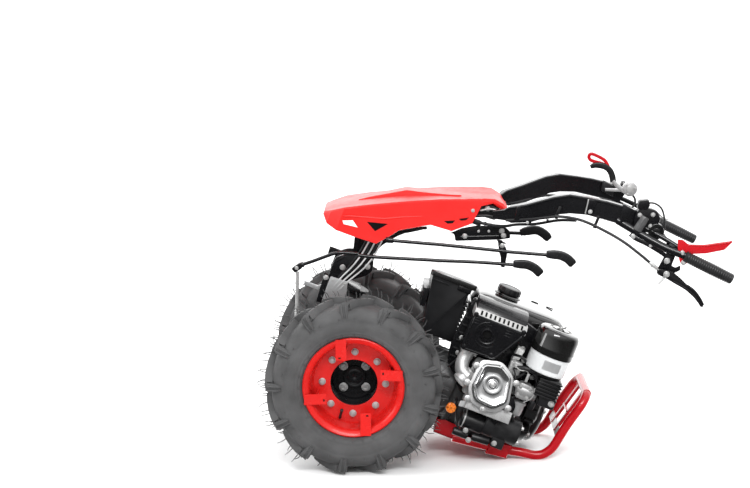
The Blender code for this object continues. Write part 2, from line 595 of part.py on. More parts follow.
def controls(root, body):
    """Selector rods with their handles, the levers at the grips and the cables."""
    y = ROD_SIDE
    tube("gear_rod", [(-0.036, y, 0.402), (0.375, y, 0.525)], ROD_RADIUS, "black_paint", body)
    tube("gear_rod_handle", [(0.378, y, 0.526), (0.408, y, 0.538), (0.458, y, 0.529)], 0.009,
         "black_plastic", body)
    lower0, lower1 = Vector((-0.137, y, 0.324)), Vector((0.317, y, 0.467))
    along = (lower1 - lower0) / (lower1.x - lower0.x)
    rear_end, front_end = (lower0 + along * (x - lower0.x) for x in ROD_LAP)
    inset = Vector((0, REAR_ROD_INSET, 0))
    inner = y + REAR_ROD_INSET
    tube("pto_rod", [tuple(rear_end), tuple(lower1)], ROD_RADIUS, "black_paint", body)
    tube("pto_rod_handle", [tuple(lower1 + along * 0.003), (0.345, y, 0.480), (0.392, y, 0.476)],
         0.009, "black_plastic", body)
    tube("pto_rod_rear", [tuple(front_end + inset), tuple(rear_end + inset),
                          (-0.176, inner, 0.311), (-0.199, inner, 0.291),
                          (-0.267, inner, 0.233)], ROD_RADIUS, "black_paint", root)
    tube("pto_link", [(-0.262, inner, 0.219), (-0.217, inner, 0.099),
                      (-0.211, inner, 0.082)], 0.006,
         "bright_metal", root)
    # rod guide hung from the beam, and the plates that hold it
    guide = [(0.236, 0.508), (0.250, 0.508), (0.284, 0.444), (0.270, 0.440)]
    plate("rod_guide", guide, y + 0.016, y + 0.020, "black_paint", body)
    outline = [(0.104, 0.474), (0.120, 0.494), (0.262, 0.520), (0.268, 0.506), (0.150, 0.458)]
    plate("lever_plate", outline, -0.096, -0.090, "black_paint", body)
    tube("height_lever", [(0.240, -0.060, 0.526), (0.268, -0.060, 0.537), (0.306, -0.060, 0.549),
                          (0.345, -0.060, 0.560), (0.378, -0.060, 0.554)], 0.008,
         "black_plastic", body)
    # levers at the grips
    spread = GRIP_HALF_SPREAD
    lever = [(0.655, 0.676), (0.667, 0.682), (0.700, 0.650), (0.802, 0.590), (0.806, 0.576),
             (0.794, 0.574), (0.690, 0.636), (0.668, 0.630)]
    plate("clutch_lever", lever, -spread - 0.007, -spread + 0.007, "black_paint", body, 0.003)
    stop = [(0.684, 0.726), (0.706, 0.731), (0.806, 0.776), (0.812, 0.770), (0.792, 0.752),
            (0.716, 0.724), (0.690, 0.724)]
    plate("stop_lever", stop, -spread - 0.011, -spread + 0.011, "red_paint", body, 0.002)
    tube("throttle_lever", [(0.552, 0.250, 0.760), (0.530, 0.250, 0.768), (0.480, 0.244, 0.786),
                            (0.455, 0.236, 0.806)], 0.008, "black_plastic", body)
    box("control_cluster", (0.560, 0.246, 0.742), (0.592, 0.276, 0.766), "black_plastic", body,
        0.004)
    tube("clutch_cable", [(0.300, -0.206, 0.640), (0.380, -0.236, 0.668), (0.470, -0.262, 0.676),
                          (0.560, -0.290, 0.668), (0.640, -0.306, 0.650)], 0.004, "black_plastic",
         body, smooth=True)


def main():
    for obj in list(bpy.data.objects):
        bpy.data.objects.remove(obj)
    stance = empty("stance", None)
    left = empty("wheel_left_axle", stance)
    right = empty("wheel_right_axle", stance)
    swivel = empty("swivel_axis", stance, (TURRET_X, 0.0, TURRET_TOP))
    pitch = empty("handlebar_pivot", swivel, (PITCH_PIVOT[0], 0.0, PITCH_PIVOT[1]))

    wheel(-1, "left", left)
    wheel(1, "right", right)
    gearbox(stance)
    engine(stance)
    bumper(stance)
    swivel_bracket(swivel)
    beam(pitch)
    console(pitch)
    arm(-1, "left", pitch)
    arm(1, "right", pitch)
    controls(stance, pitch)

    # tip the machine about the axle until the bumper's bend touches the floor
    reach = math.hypot(*BUMPER_LOW)
    tilt = math.atan2(BUMPER_LOW[1], BUMPER_LOW[0]) + math.asin(
        (TYRE_RADIUS - BUMPER_TUBE_RADIUS) / reach)
    stance.rotation_euler = (0.0, tilt, 0.0)
    stance.location = (0.0, 0.0, TYRE_RADIUS)
    # put the middle of the machine's length over the origin
    bpy.context.view_layer.update()
    reaches = [(obj.matrix_world @ Vector(corner)).x for obj in bpy.data.objects
               if obj.type == "MESH" and not obj.hide_render for corner in obj.bound_box]
    grip_end = (stance.matrix_world @ Vector((GRIP_END[0], 0, GRIP_END[1]))).x
    face = GRIP_RADIUS * math.sin(tilt + math.atan2(GRIP_START[1] - GRIP_END[1],
                                                    GRIP_END[0] - GRIP_START[0]))
    stance.location.x = -(grip_end + face - TYRE_RADIUS) / 2
    bpy.context.view_layer.update()
    for obj in (stance, swivel, pitch):
        place = obj.matrix_world.translation
        print(obj.name, "at", [round(value, 5) for value in place])
    print("tilt", round(math.degrees(tilt), 3), "reach", round(max(reaches), 4))


main()
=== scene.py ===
"""Looks of the walking tractor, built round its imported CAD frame."""
import json
import math
import random

import bmesh
import bpy
import numpy as np
from mathutils import Matrix, Vector


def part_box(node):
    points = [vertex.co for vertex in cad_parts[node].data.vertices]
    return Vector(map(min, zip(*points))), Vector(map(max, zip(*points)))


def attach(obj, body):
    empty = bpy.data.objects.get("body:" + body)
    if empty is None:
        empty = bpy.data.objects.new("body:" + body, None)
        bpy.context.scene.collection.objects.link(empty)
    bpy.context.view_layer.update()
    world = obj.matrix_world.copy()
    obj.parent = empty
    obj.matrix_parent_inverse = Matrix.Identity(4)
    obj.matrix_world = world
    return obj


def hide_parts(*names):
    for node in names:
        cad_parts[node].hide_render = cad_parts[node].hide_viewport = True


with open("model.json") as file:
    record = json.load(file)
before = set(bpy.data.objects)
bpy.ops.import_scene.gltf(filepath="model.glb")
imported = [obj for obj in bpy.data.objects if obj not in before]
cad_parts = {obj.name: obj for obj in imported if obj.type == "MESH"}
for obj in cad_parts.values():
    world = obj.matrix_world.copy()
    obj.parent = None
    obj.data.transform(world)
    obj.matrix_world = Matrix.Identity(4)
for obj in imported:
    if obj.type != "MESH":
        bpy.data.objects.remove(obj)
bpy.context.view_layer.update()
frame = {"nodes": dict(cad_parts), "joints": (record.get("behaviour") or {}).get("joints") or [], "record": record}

# ---------------------------------------------------------------- machine frame
# X along the machine toward the engine, Y across it, Z square to both, origin on the axle.
JOINTS = {joint["name"]: joint for joint in frame["joints"]}
AXLE = Vector(JOINTS["wheel_left_spin"]["pos_m"])
AXLE.y = 0.0
COLUMN = Vector(JOINTS["handlebar_swivel"]["axis"])
TILT = math.atan2(COLUMN.x, COLUMN.z)
MACHINE = Matrix.Translation(AXLE) @ Matrix.Rotation(TILT, 4, "Y")
WHEELS = Matrix.Translation(AXLE)
BOTH_SIDES = ((-1, "left"), (1, "right"))


def machine_box(node):
    """Lowest and highest corner of a CAD node in the machine frame."""
    inverse = MACHINE.inverted()
    points = np.array([inverse @ vert.co for vert in frame["nodes"][node].data.vertices])
    return Vector(points.min(0)), Vector(points.max(0))


def middle(node):
    """Middle of a CAD node across the machine."""
    low, high = machine_box(node)
    return (low.y + high.y) / 2


# ---------------------------------------------------------------- materials
GRAIN_DEPTH = 0.0006


def surface(name, colour, rough, metal=0.0, vary=0.1, patch=14.0, rough_vary=0.1, grain=0.0,
            grain_scale=900.0, coat=0.0, coat_rough=0.08, specular=0.5, wear=None):
    """Principled material with blotchy colour, uneven roughness, a fine grain and worn tint."""
    mat = bpy.data.materials.new(name)
    mat.use_nodes = True
    nodes, links = mat.node_tree.nodes, mat.node_tree.links
    shader = nodes["Principled BSDF"]
    shader.inputs["Metallic"].default_value = metal
    shader.inputs["Coat Weight"].default_value = coat
    shader.inputs["Coat Roughness"].default_value = coat_rough
    shader.inputs["Specular IOR Level"].default_value = specular
    place = nodes.new("ShaderNodeTexCoord")

    def noise(scale, detail):
        node = nodes.new("ShaderNodeTexNoise")
        node.inputs["Scale"].default_value = scale
        node.inputs["Detail"].default_value = detail
        links.new(place.outputs["Object"], node.inputs["Vector"])
        return node

    blotch = noise(patch, 4.0)
    ramp = nodes.new("ShaderNodeValToRGB")
    dark = [c * (1.0 - vary) for c in colour]
    light = [min(1.0, c * (1.0 + vary) + 0.01 * vary) for c in colour]
    ramp.color_ramp.elements[0].position = 0.3
    ramp.color_ramp.elements[0].color = (*dark, 1.0)
    ramp.color_ramp.elements[1].position = 0.72
    ramp.color_ramp.elements[1].color = (*light, 1.0)
    links.new(blotch.outputs["Fac"], ramp.inputs["Fac"])
    tint = ramp.outputs["Color"]
    if wear is not None:
        worn_colour, amount = wear
        spots = noise(patch * 9.0, 8.0)
        gate = nodes.new("ShaderNodeMapRange")
        gate.inputs["From Min"].default_value = 0.62 - 0.18 * amount
        gate.inputs["From Max"].default_value = 0.74
        links.new(spots.outputs["Fac"], gate.inputs["Value"])
        mix = nodes.new("ShaderNodeMix")
        mix.data_type = "RGBA"
        mix.inputs["B"].default_value = (*worn_colour, 1.0)
        links.new(gate.outputs["Result"], mix.inputs["Factor"])
        links.new(tint, mix.inputs["A"])
        tint = mix.outputs["Result"]
    links.new(tint, shader.inputs["Base Color"])
    uneven = noise(patch * 3.0, 3.0)
    spread = nodes.new("ShaderNodeMapRange")
    spread.inputs["To Min"].default_value = max(0.02, rough - rough_vary)
    spread.inputs["To Max"].default_value = min(1.0, rough + rough_vary)
    links.new(uneven.outputs["Fac"], spread.inputs["Value"])
    links.new(spread.outputs["Result"], shader.inputs["Roughness"])
    if grain:
        fine = noise(grain_scale, 2.0)
        bump = nodes.new("ShaderNodeBump")
        bump.inputs["Strength"].default_value = grain
        bump.inputs["Distance"].default_value = GRAIN_DEPTH
        links.new(fine.outputs["Fac"], bump.inputs["Height"])
        links.new(bump.outputs["Normal"], shader.inputs["Normal"])
    mat.diffuse_color = (*colour, 1.0)
    return mat


MATS = {
    "console": surface("console_plastic", (0.64, 0.012, 0.01), 0.36, vary=0.05, grain=0.08,
                       coat=0.06, coat_rough=0.22, specular=0.22),
    "red": surface("red_enamel", (0.56, 0.011, 0.009), 0.26, vary=0.07, grain=0.06, coat=0.08,
                   grain_scale=400.0, specular=0.25),
    "bumper": surface("bumper_enamel", (0.4, 0.003, 0.008), 0.22, vary=0.08, grain=0.05,
                      coat=0.22, coat_rough=0.08, grain_scale=400.0, specular=0.35),
    "black": surface("black_enamel", (0.004, 0.004, 0.005), 0.24, vary=0.06, grain=0.02,
                     specular=0.5, grain_scale=300.0),
    "plastic": surface("black_plastic", (0.006, 0.006, 0.007), 0.38, vary=0.25, grain=0.1,
                       specular=0.45),
    "gloss": surface("gloss_black", (0.004, 0.004, 0.004), 0.1, vary=0.2, rough_vary=0.03,
                     coat=0.6, coat_rough=0.04, specular=0.5),
    "tyre": surface("tyre_rubber", (0.066, 0.066, 0.067), 0.66, vary=0.22, patch=16.0, grain=0.35,
                    grain_scale=500.0, specular=0.3),
    "rubber": surface("grip_rubber", (0.014, 0.014, 0.015), 0.42, vary=0.25, grain=0.3,
                      grain_scale=600.0, specular=0.35),
    "cast": surface("cast_aluminium", (0.56, 0.56, 0.56), 0.46, metal=0.75, vary=0.1,
                    patch=40.0, grain=0.55, grain_scale=420.0, wear=((0.3, 0.29, 0.28), 0.3)),
    # dark copy of the cast metal: painted shade on the cast aluminium crankcase and clutch bell, and the adjuster
    # sleeve's own dark metal
    "dull": surface("dark_and_shaded_casting", (0.1, 0.1, 0.102), 0.44, metal=0.5, vary=0.2,
                    patch=40.0, grain=0.55, grain_scale=420.0),
    "chrome": surface("bright_plate", (0.82, 0.825, 0.83), 0.14, metal=1.0, vary=0.04,
                      rough_vary=0.05),
    "steel": surface("zinc_steel", (0.5, 0.5, 0.495), 0.38, metal=0.55, vary=0.1, patch=60.0,
                     rough_vary=0.1),
    "grey": surface("grey_plastic", (0.56, 0.57, 0.575), 0.34, vary=0.05, grain=0.12),
    "iron": surface("black_casting", (0.012, 0.012, 0.013), 0.42, metal=0.1, vary=0.3,
                    patch=40.0, grain=0.6, grain_scale=300.0, specular=0.4),
    "plate": surface("blank_plate", (0.5, 0.505, 0.51), 0.38, metal=0.6, vary=0.06),
    "orange": surface("orange_plastic", (0.9, 0.22, 0.01), 0.38, vary=0.08, grain=0.1),
    "white": surface("white_plastic", (0.8, 0.8, 0.79), 0.4, vary=0.04, grain=0.08),
    "cable": surface("cable_jacket", (0.012, 0.012, 0.013), 0.44, vary=0.2, specular=0.4),
    # painted shade: near-black plates set in holes, slots, vents and bores to stand for the shade inside them
    "dark": surface("painted_shade_in_openings", (0.004, 0.004, 0.004), 0.8, vary=0.2, specular=0.1),
}


# ---------------------------------------------------------------- mesh tools
def flow(points, steps=6):
    """Smooth run through every point, as a Catmull-Rom curve."""
    points = [Vector(p) for p in points]
    ends = [points[0] * 2 - points[1]] + points + [points[-1] * 2 - points[-2]]
    out = []
    for a, b, c, d in zip(ends, ends[1:], ends[2:], ends[3:]):
        for k in range(steps):
            t = k / steps
            out.append(0.5 * ((2 * b) + (c - a) * t + (
                2 * a - 5 * b + 4 * c - d) * t * t + (3 * b - a - 3 * c + d) * t ** 3))
    return out + [points[-1]]


def circle(radius, sides):
    return [(radius * math.cos(2 * math.pi * k / sides), radius * math.sin(2 * math.pi * k / sides))
            for k in range(sides)]


def rounded(width, height, radius, steps=3):
    """Outline of a rounded rectangle about its centre."""
    out = []
    for cx, cy, start in ((1, 1, 0), (-1, 1, 90), (-1, -1, 180), (1, -1, 270)):
        for k in range(steps + 1):
            turn = math.radians(start + 90 * k / steps)
            out.append((cx * (width / 2 - radius) + radius * math.cos(turn),
                        cy * (height / 2 - radius) + radius * math.sin(turn)))
    return out


def rounded_outline(points, radius, steps=3):
    """Any outline with its corners rounded by up to radius."""
    out = []
    count = len(points)
    for k in range(count):
        here = Vector(points[k])
        back = Vector(points[k - 1]) - here
        ahead = Vector(points[(k + 1) % count]) - here
        reach = min(radius, back.length * 0.45, ahead.length * 0.45)
        start, end = here + back.normalized() * reach, here + ahead.normalized() * reach
        for s in range(steps + 1):
            t = s / steps
            out.append(tuple(start * (1 - t) ** 2 + here * 2 * t * (1 - t) + end * t * t))
    return out


def facing(direction, origin=(0, 0, 0)):
    """Matrix whose Z looks along a direction, placed at origin."""
    turn = Vector(direction).to_track_quat("Z", "Y").to_matrix().to_4x4()
    return Matrix.Translation(Vector(origin)) @ turn


# flat outlines turned to stand in the machine: (x, z) solid toward -Y, (y, z) solid toward X
SIDE = Matrix(((1, 0, 0, 0), (0, 0, -1, 0), (0, 1, 0, 0), (0, 0, 0, 1)))
ACROSS = Matrix(((0, 0, 1, 0), (1, 0, 0, 0), (0, 1, 0, 0), (0, 0, 0, 1)))


def at_y(y, *points):
    """Side-view points (x, z) set at one distance across the machine."""
    return [(x, y, z) for x, z in points]


def skin(bm, rings, closed=False, capped=True):
    """Faces between rings of equal count, with both ends filled unless the rings close up."""
    pairs = list(zip(rings, rings[1:])) + ([(rings[-1], rings[0])] if closed else [])
    for ring, following in pairs:
        for k in range(len(ring)):
            nxt = (k + 1) % len(ring)
            corners = list(dict.fromkeys((ring[k], ring[nxt], following[nxt], following[k])))
            if len(corners) > 2:
                bm.faces.new(corners)
    if capped and not closed:
        bm.faces.new(rings[0])
        bm.faces.new(rings[-1])


class Piece:
    """One visible piece: closed shells gathered in one mesh, then set to ride on a body."""

    def __init__(self, name, body, *materials, stands_for=(), slot=None, at=MACHINE, sharp=38.0):
        self.name, self.body, self.materials = name, body, materials
        self.stands_for, self.slot, self.at, self.sharp = stands_for, slot, at, sharp
        self.bm = bmesh.new()

    def take(self, bm, mat=0, turn=None):
        """Add a shell from a scratch bmesh."""
        if turn is not None:
            bmesh.ops.transform(bm, matrix=turn, verts=bm.verts)
        bmesh.ops.recalc_face_normals(bm, faces=bm.faces)
        for face in bm.faces:
            face.material_index = mat
        scratch = bpy.data.meshes.new("scratch")
        bm.to_mesh(scratch)
        bm.free()
        self.bm.from_mesh(scratch)
        bpy.data.meshes.remove(scratch)
        return self

    def block(self, low, high, bevel=0.0, mat=0, turn=None, segments=2):
        bm = bmesh.new()
        bmesh.ops.create_cube(bm, size=1.0)
        low, high = Vector(low), Vector(high)
        for vert in bm.verts:
            vert.co = Vector([(high if vert.co[k] > 0 else low)[k] for k in range(3)])
        if bevel:
            bmesh.ops.bevel(bm, geom=list(bm.edges), offset=bevel, segments=segments,
                            profile=0.5, affect="EDGES")
        return self.take(bm, mat, turn)

    def prism(self, outline, depth, bevel=0.0, mat=0, turn=None, start=0.0, segments=2):
        """Outline in local XY made solid along local Z, from start to start + depth."""
        bm = bmesh.new()
        face = bm.faces.new([bm.verts.new((x, y, start)) for x, y in outline])
        grown = bmesh.ops.extrude_face_region(bm, geom=[face])
        top = [g for g in grown["geom"] if isinstance(g, bmesh.types.BMVert)]
        for vert in top:
            vert.co.z = start + depth
        if bevel:
            edges = [e for e in bm.edges
                     if len(e.link_faces) == 2 and e.calc_face_angle() > math.radians(50)]
            bmesh.ops.bevel(bm, geom=edges, offset=bevel, segments=segments, profile=0.5,
                            affect="EDGES")
        return self.take(bm, mat, turn)

    def side_plate(self, outline, y0, y1, bevel=0.0, mat=0):
        """A side-view outline (x, z) made solid across the machine."""
        return self.prism(outline, abs(y1 - y0), bevel, mat, SIDE, start=-max(y0, y1))

    def lathe(self, profile, mat=0, turn=None, sides=48, closed=False):
        """(radius, height) profile turned about local Z; an open one starts and ends on it."""
        bm = bmesh.new()
        rings = []
        for radius, height in profile:
            if radius < 1e-7:
                rings.append([bm.verts.new((0, 0, height))] * sides)
            else:
                rings.append([bm.verts.new((radius * math.cos(2 * math.pi * k / sides),
                                            radius * math.sin(2 * math.pi * k / sides), height))
                              for k in range(sides)])
        skin(bm, rings, closed, capped=False)
        return self.take(bm, mat, turn)

    def rod(self, start, end, radius, end_radius=None, mat=0, sides=24, bevel=0.0):
        """Round bar with softened ends."""
        start, end = Vector(start), Vector(end)
        length = (end - start).length
        last = radius if end_radius is None else end_radius
        bevel = min(bevel, length * 0.4, radius * 0.6, last * 0.6)
        profile = [(0, 0), (radius - bevel, 0)]
        if bevel:
            profile += [(radius - bevel * 0.3, bevel * 0.3), (radius, bevel),
                        (last, length - bevel), (last - bevel * 0.3, length - bevel * 0.3)]
        else:
            profile += [(radius, 0), (last, length)]
            profile.pop(1)
        profile += [(last - bevel, length), (0, length)]
        if not bevel:
            profile.pop(-2)
        return self.lathe(profile, mat, facing(end - start, start), sides)

    def sweep(self, points, section, mat=0, scale=None, roll=None, closed=False):
        """Closed section run along points; scale gives each point's size."""
        points = [Vector(p) for p in points]
        bm = bmesh.new()
        rings = []
        normal = None
        for k, point in enumerate(points):
            ahead = points[min(k + 1, len(points) - 1)]
            behind = points[max(k - 1, 0)]
            if closed:
                ahead, behind = points[(k + 1) % len(points)], points[k - 1]
            along = (ahead - behind).normalized()
            if normal is None:
                normal = Vector(roll) if roll else along.orthogonal()
            normal = (normal - along * normal.dot(along)).normalized()
            across = along.cross(normal)
            size = 1.0 if scale is None else scale[k]
            sx, sy = size if isinstance(size, tuple) else (size, size)
            rings.append([bm.verts.new(point + across * a * sx + normal * b * sy)
                          for a, b in section])
        skin(bm, rings, closed)
        return self.take(bm, mat)

    def wire(self, points, radius, mat=0, steps=5, sides=12):
        """Round cable or bar along a smooth run through the points."""
        return self.sweep(flow(points, steps), circle(radius, sides), mat)

    def bolt(self, at, axis, across=0.013, mat=0, washer=True, head=0.0055, socket=False):
        """Hexagon or socket head with its washer, standing on a face at a point."""
        turn = facing(axis, at)
        lift = 0.0
        if washer:
            self.lathe([(0, -0.001), (across * 0.78, -0.001), (across * 0.78, 0.0012),
                        (across * 0.72, 0.0016), (0, 0.0016)], mat, turn, 24)
            lift = 0.0014
        if socket:
            radius = across / 2
            self.lathe([(0, lift), (radius, lift), (radius, lift + head * 0.85),
                        (radius * 0.9, lift + head), (radius * 0.52, lift + head),
                        (radius * 0.48, lift + head * 0.4), (0, lift + head * 0.4)], mat, turn, 24)
        else:
            radius = across / math.sqrt(3)
            corner = [(radius * math.cos(math.pi * k / 3), radius * math.sin(math.pi * k / 3))
                      for k in range(6)]
            self.prism(corner, head, min(0.0008, head * 0.2), mat, turn, start=lift)
        return self

    def done(self):
        """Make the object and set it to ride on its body."""
        mesh = bpy.data.meshes.new(self.name)
        self.bm.to_mesh(mesh)
        self.bm.free()
        mesh.transform(self.at)
        for key in self.materials:
            mesh.materials.append(MATS[key])
        mesh.polygons.foreach_set("use_smooth", [True] * len(mesh.polygons))
        mesh.set_sharp_from_angle(angle=math.radians(self.sharp))
        mesh.update()
        obj = bpy.data.objects.new(self.name, mesh)
        bpy.context.scene.collection.objects.link(obj)
        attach(obj, self.body)
        if self.stands_for:
            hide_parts(*self.stands_for)


def loft(piece, levels, mat=0, turn=None):
    """Closed form through rings of equal count, given as lists of (x, y, z)."""
    bm = bmesh.new()
    skin(bm, [[bm.verts.new(point) for point in level] for level in levels])
    return piece.take(bm, mat, turn)


def scaled(outline, size, height, centre=(0.0, 0.0)):
    """Outline drawn larger or smaller about a centre, as a ring at one height."""
    cx, cy = centre
    return [(cx + (x - cx) * size, cy + (y - cy) * size, height) for x, y in outline]


def slab(centre, width, depth, radius, height, inset=0.0):
    """Ring of a rounded rectangle at one height."""
    radius = max(radius - inset * 0.3, 0.004)
    return [(centre[0] + x, centre[1] + y, height)
            for x, y in rounded(width - 2 * inset, depth - 2 * inset, radius, 5)]


def scaled_outline(outline, size):
    return [(x * size, y * size) for x, y in outline]


def washer_bolt(piece, x, y, z, side, across, head=0.006):
    """Steel bolt on a face that looks across the machine."""
    piece.bolt((x, y, z), (0, side, 0), across, 1, head=head)


def ring_angles(count, first=0.0):
    """Angles of so many places spread evenly round a circle, from a first one in degrees."""
    return [math.radians(360 * k / count + first) for k in range(count)]


# ---------------------------------------------------------------- camera, light and floor
SENSOR_MM, LENS_MM = 36.0, 84.77
CAMERA_YAW, CAMERA_PITCH = 0.0173, 0.1755   # radians left of +Y, and down
CAMERA_FROM_AXLE, CAMERA_ACROSS, CAMERA_HEIGHT = 0.1431, -5.0621, 1.5055
SKY_STRENGTH = 2.0
# light level along an axis of the sky, from -1 at 0 to +1 at 1: dark low down and bright overhead;
# dim on the camera's side and strong behind the machine
SKY_UPWARD = ((0.0, 0.03), (0.48, 0.05), (0.6, 0.22), (0.8, 0.7), (1.0, 0.75))
SKY_BEHIND = ((0.0, 0.0), (0.55, 0.0), (0.8, 0.75), (1.0, 1.0))
FLOOR_SIZE, FLOOR_GREY = 160.0, 0.93


def studio():
    """Camera at the photograph's angle, overhead soft light and a plain pale floor."""
    scene = bpy.context.scene
    scene.view_settings.view_transform = "Standard"
    data = bpy.data.cameras.new("camera")
    camera = bpy.data.objects.new("camera", data)
    scene.collection.objects.link(camera)
    data.sensor_width, data.lens = SENSOR_MM, LENS_MM
    data.clip_end = FLOOR_SIZE * 1.25
    level = math.cos(CAMERA_PITCH)
    forward = Vector((-math.sin(CAMERA_YAW) * level, math.cos(CAMERA_YAW) * level,
                      -math.sin(CAMERA_PITCH)))
    camera.location = (AXLE.x + CAMERA_FROM_AXLE, CAMERA_ACROSS, CAMERA_HEIGHT)
    camera.rotation_euler = forward.to_track_quat("-Z", "Y").to_euler()
    scene.camera = camera

    world = bpy.data.worlds.new("studio")
    scene.world = world
    world.use_nodes = True
    nodes, links = world.node_tree.nodes, world.node_tree.links
    back = nodes["Background"]
    place = nodes.new("ShaderNodeTexCoord")
    split = nodes.new("ShaderNodeSeparateXYZ")
    links.new(place.outputs["Generated"], split.inputs["Vector"])

    def graded(socket, stops):
        spread = nodes.new("ShaderNodeMapRange")
        spread.inputs["From Min"].default_value = -1.0
        ramp = nodes.new("ShaderNodeValToRGB")
        while len(ramp.color_ramp.elements) < len(stops):
            ramp.color_ramp.elements.new(0.5)
        for element, (position, level) in zip(ramp.color_ramp.elements, stops):
            element.position = position
            element.color = (level, level, level, 1.0)
        links.new(socket, spread.inputs["Value"])
        links.new(spread.outputs["Result"], ramp.inputs["Fac"])
        return ramp.outputs["Color"]

    height = graded(split.outputs["Z"], SKY_UPWARD)
    depth = graded(split.outputs["Y"], SKY_BEHIND)
    mix = nodes.new("ShaderNodeMix")
    mix.data_type = "RGBA"
    mix.blend_type = "ADD"
    mix.clamp_result = False
    mix.inputs["Factor"].default_value = 1.0
    links.new(height, mix.inputs["A"])
    links.new(depth, mix.inputs["B"])
    links.new(mix.outputs["Result"], back.inputs["Color"])
    back.inputs["Strength"].default_value = SKY_STRENGTH
    white = nodes.new("ShaderNodeBackground")
    path = nodes.new("ShaderNodeLightPath")
    choose = nodes.new("ShaderNodeMixShader")
    white.inputs["Color"].default_value = (1.0, 1.0, 1.0, 1.0)
    links.new(path.outputs["Is Camera Ray"], choose.inputs["Fac"])
    links.new(back.outputs["Background"], choose.inputs[1])
    links.new(white.outputs["Background"], choose.inputs[2])
    links.new(choose.outputs["Shader"], nodes["World Output"].inputs["Surface"])

    def soft_box(name, place, target, size, power):
        light = bpy.data.lights.new(name, "AREA")
        light.shape = "RECTANGLE"
        light.size, light.size_y = size
        light.energy = power
        lamp = bpy.data.objects.new(name, light)
        scene.collection.objects.link(lamp)
        lamp.location = place
        lamp.rotation_euler = (Vector(target) - Vector(place)).to_track_quat("-Z", "Y").to_euler()

    soft_box("front_box", (0.2, -3.2, 3.1), (0, 0, 0.4), (2.2, 0.7), 105.0)
    soft_box("side_box", (-3.4, -1.2, 1.6), (0, 0, 0.45), (0.8, 1.6), 22.0)

    bpy.ops.mesh.primitive_plane_add(size=FLOOR_SIZE)
    floor = bpy.context.object
    floor.name = "floor"
    floor.data.materials.append(surface("floor_sweep", (FLOOR_GREY,) * 3, 0.85, vary=0.0,
                                        patch=0.2, rough_vary=0.0, specular=0.1))
    floor.visible_glossy = False


# ---------------------------------------------------------------- wheels
LUGS = 13                       # on each side of the tread
LUG_SWEEP = math.radians(17.0)  # how far a lug leans round from its shoulder to the middle
LUG_FIRST = math.radians(96.4)
LUG_TAPER, LUG_BEVEL = 1.22, 0.0016
CARCASS_SIDES = 130
SHOULDER = 0.06                # distance from the tyre's middle where a lug turns down its side
WHISKER, SHORT_WHISKER = 0.0012, 0.001
WHISKER_TAPER = [1.2, 1.0, 0.6]
# sine of the angle below the axle past which whiskers are left out, and from which they are short
WHISKERS_END, WHISKERS_SHORTEN = 0.93, 0.8


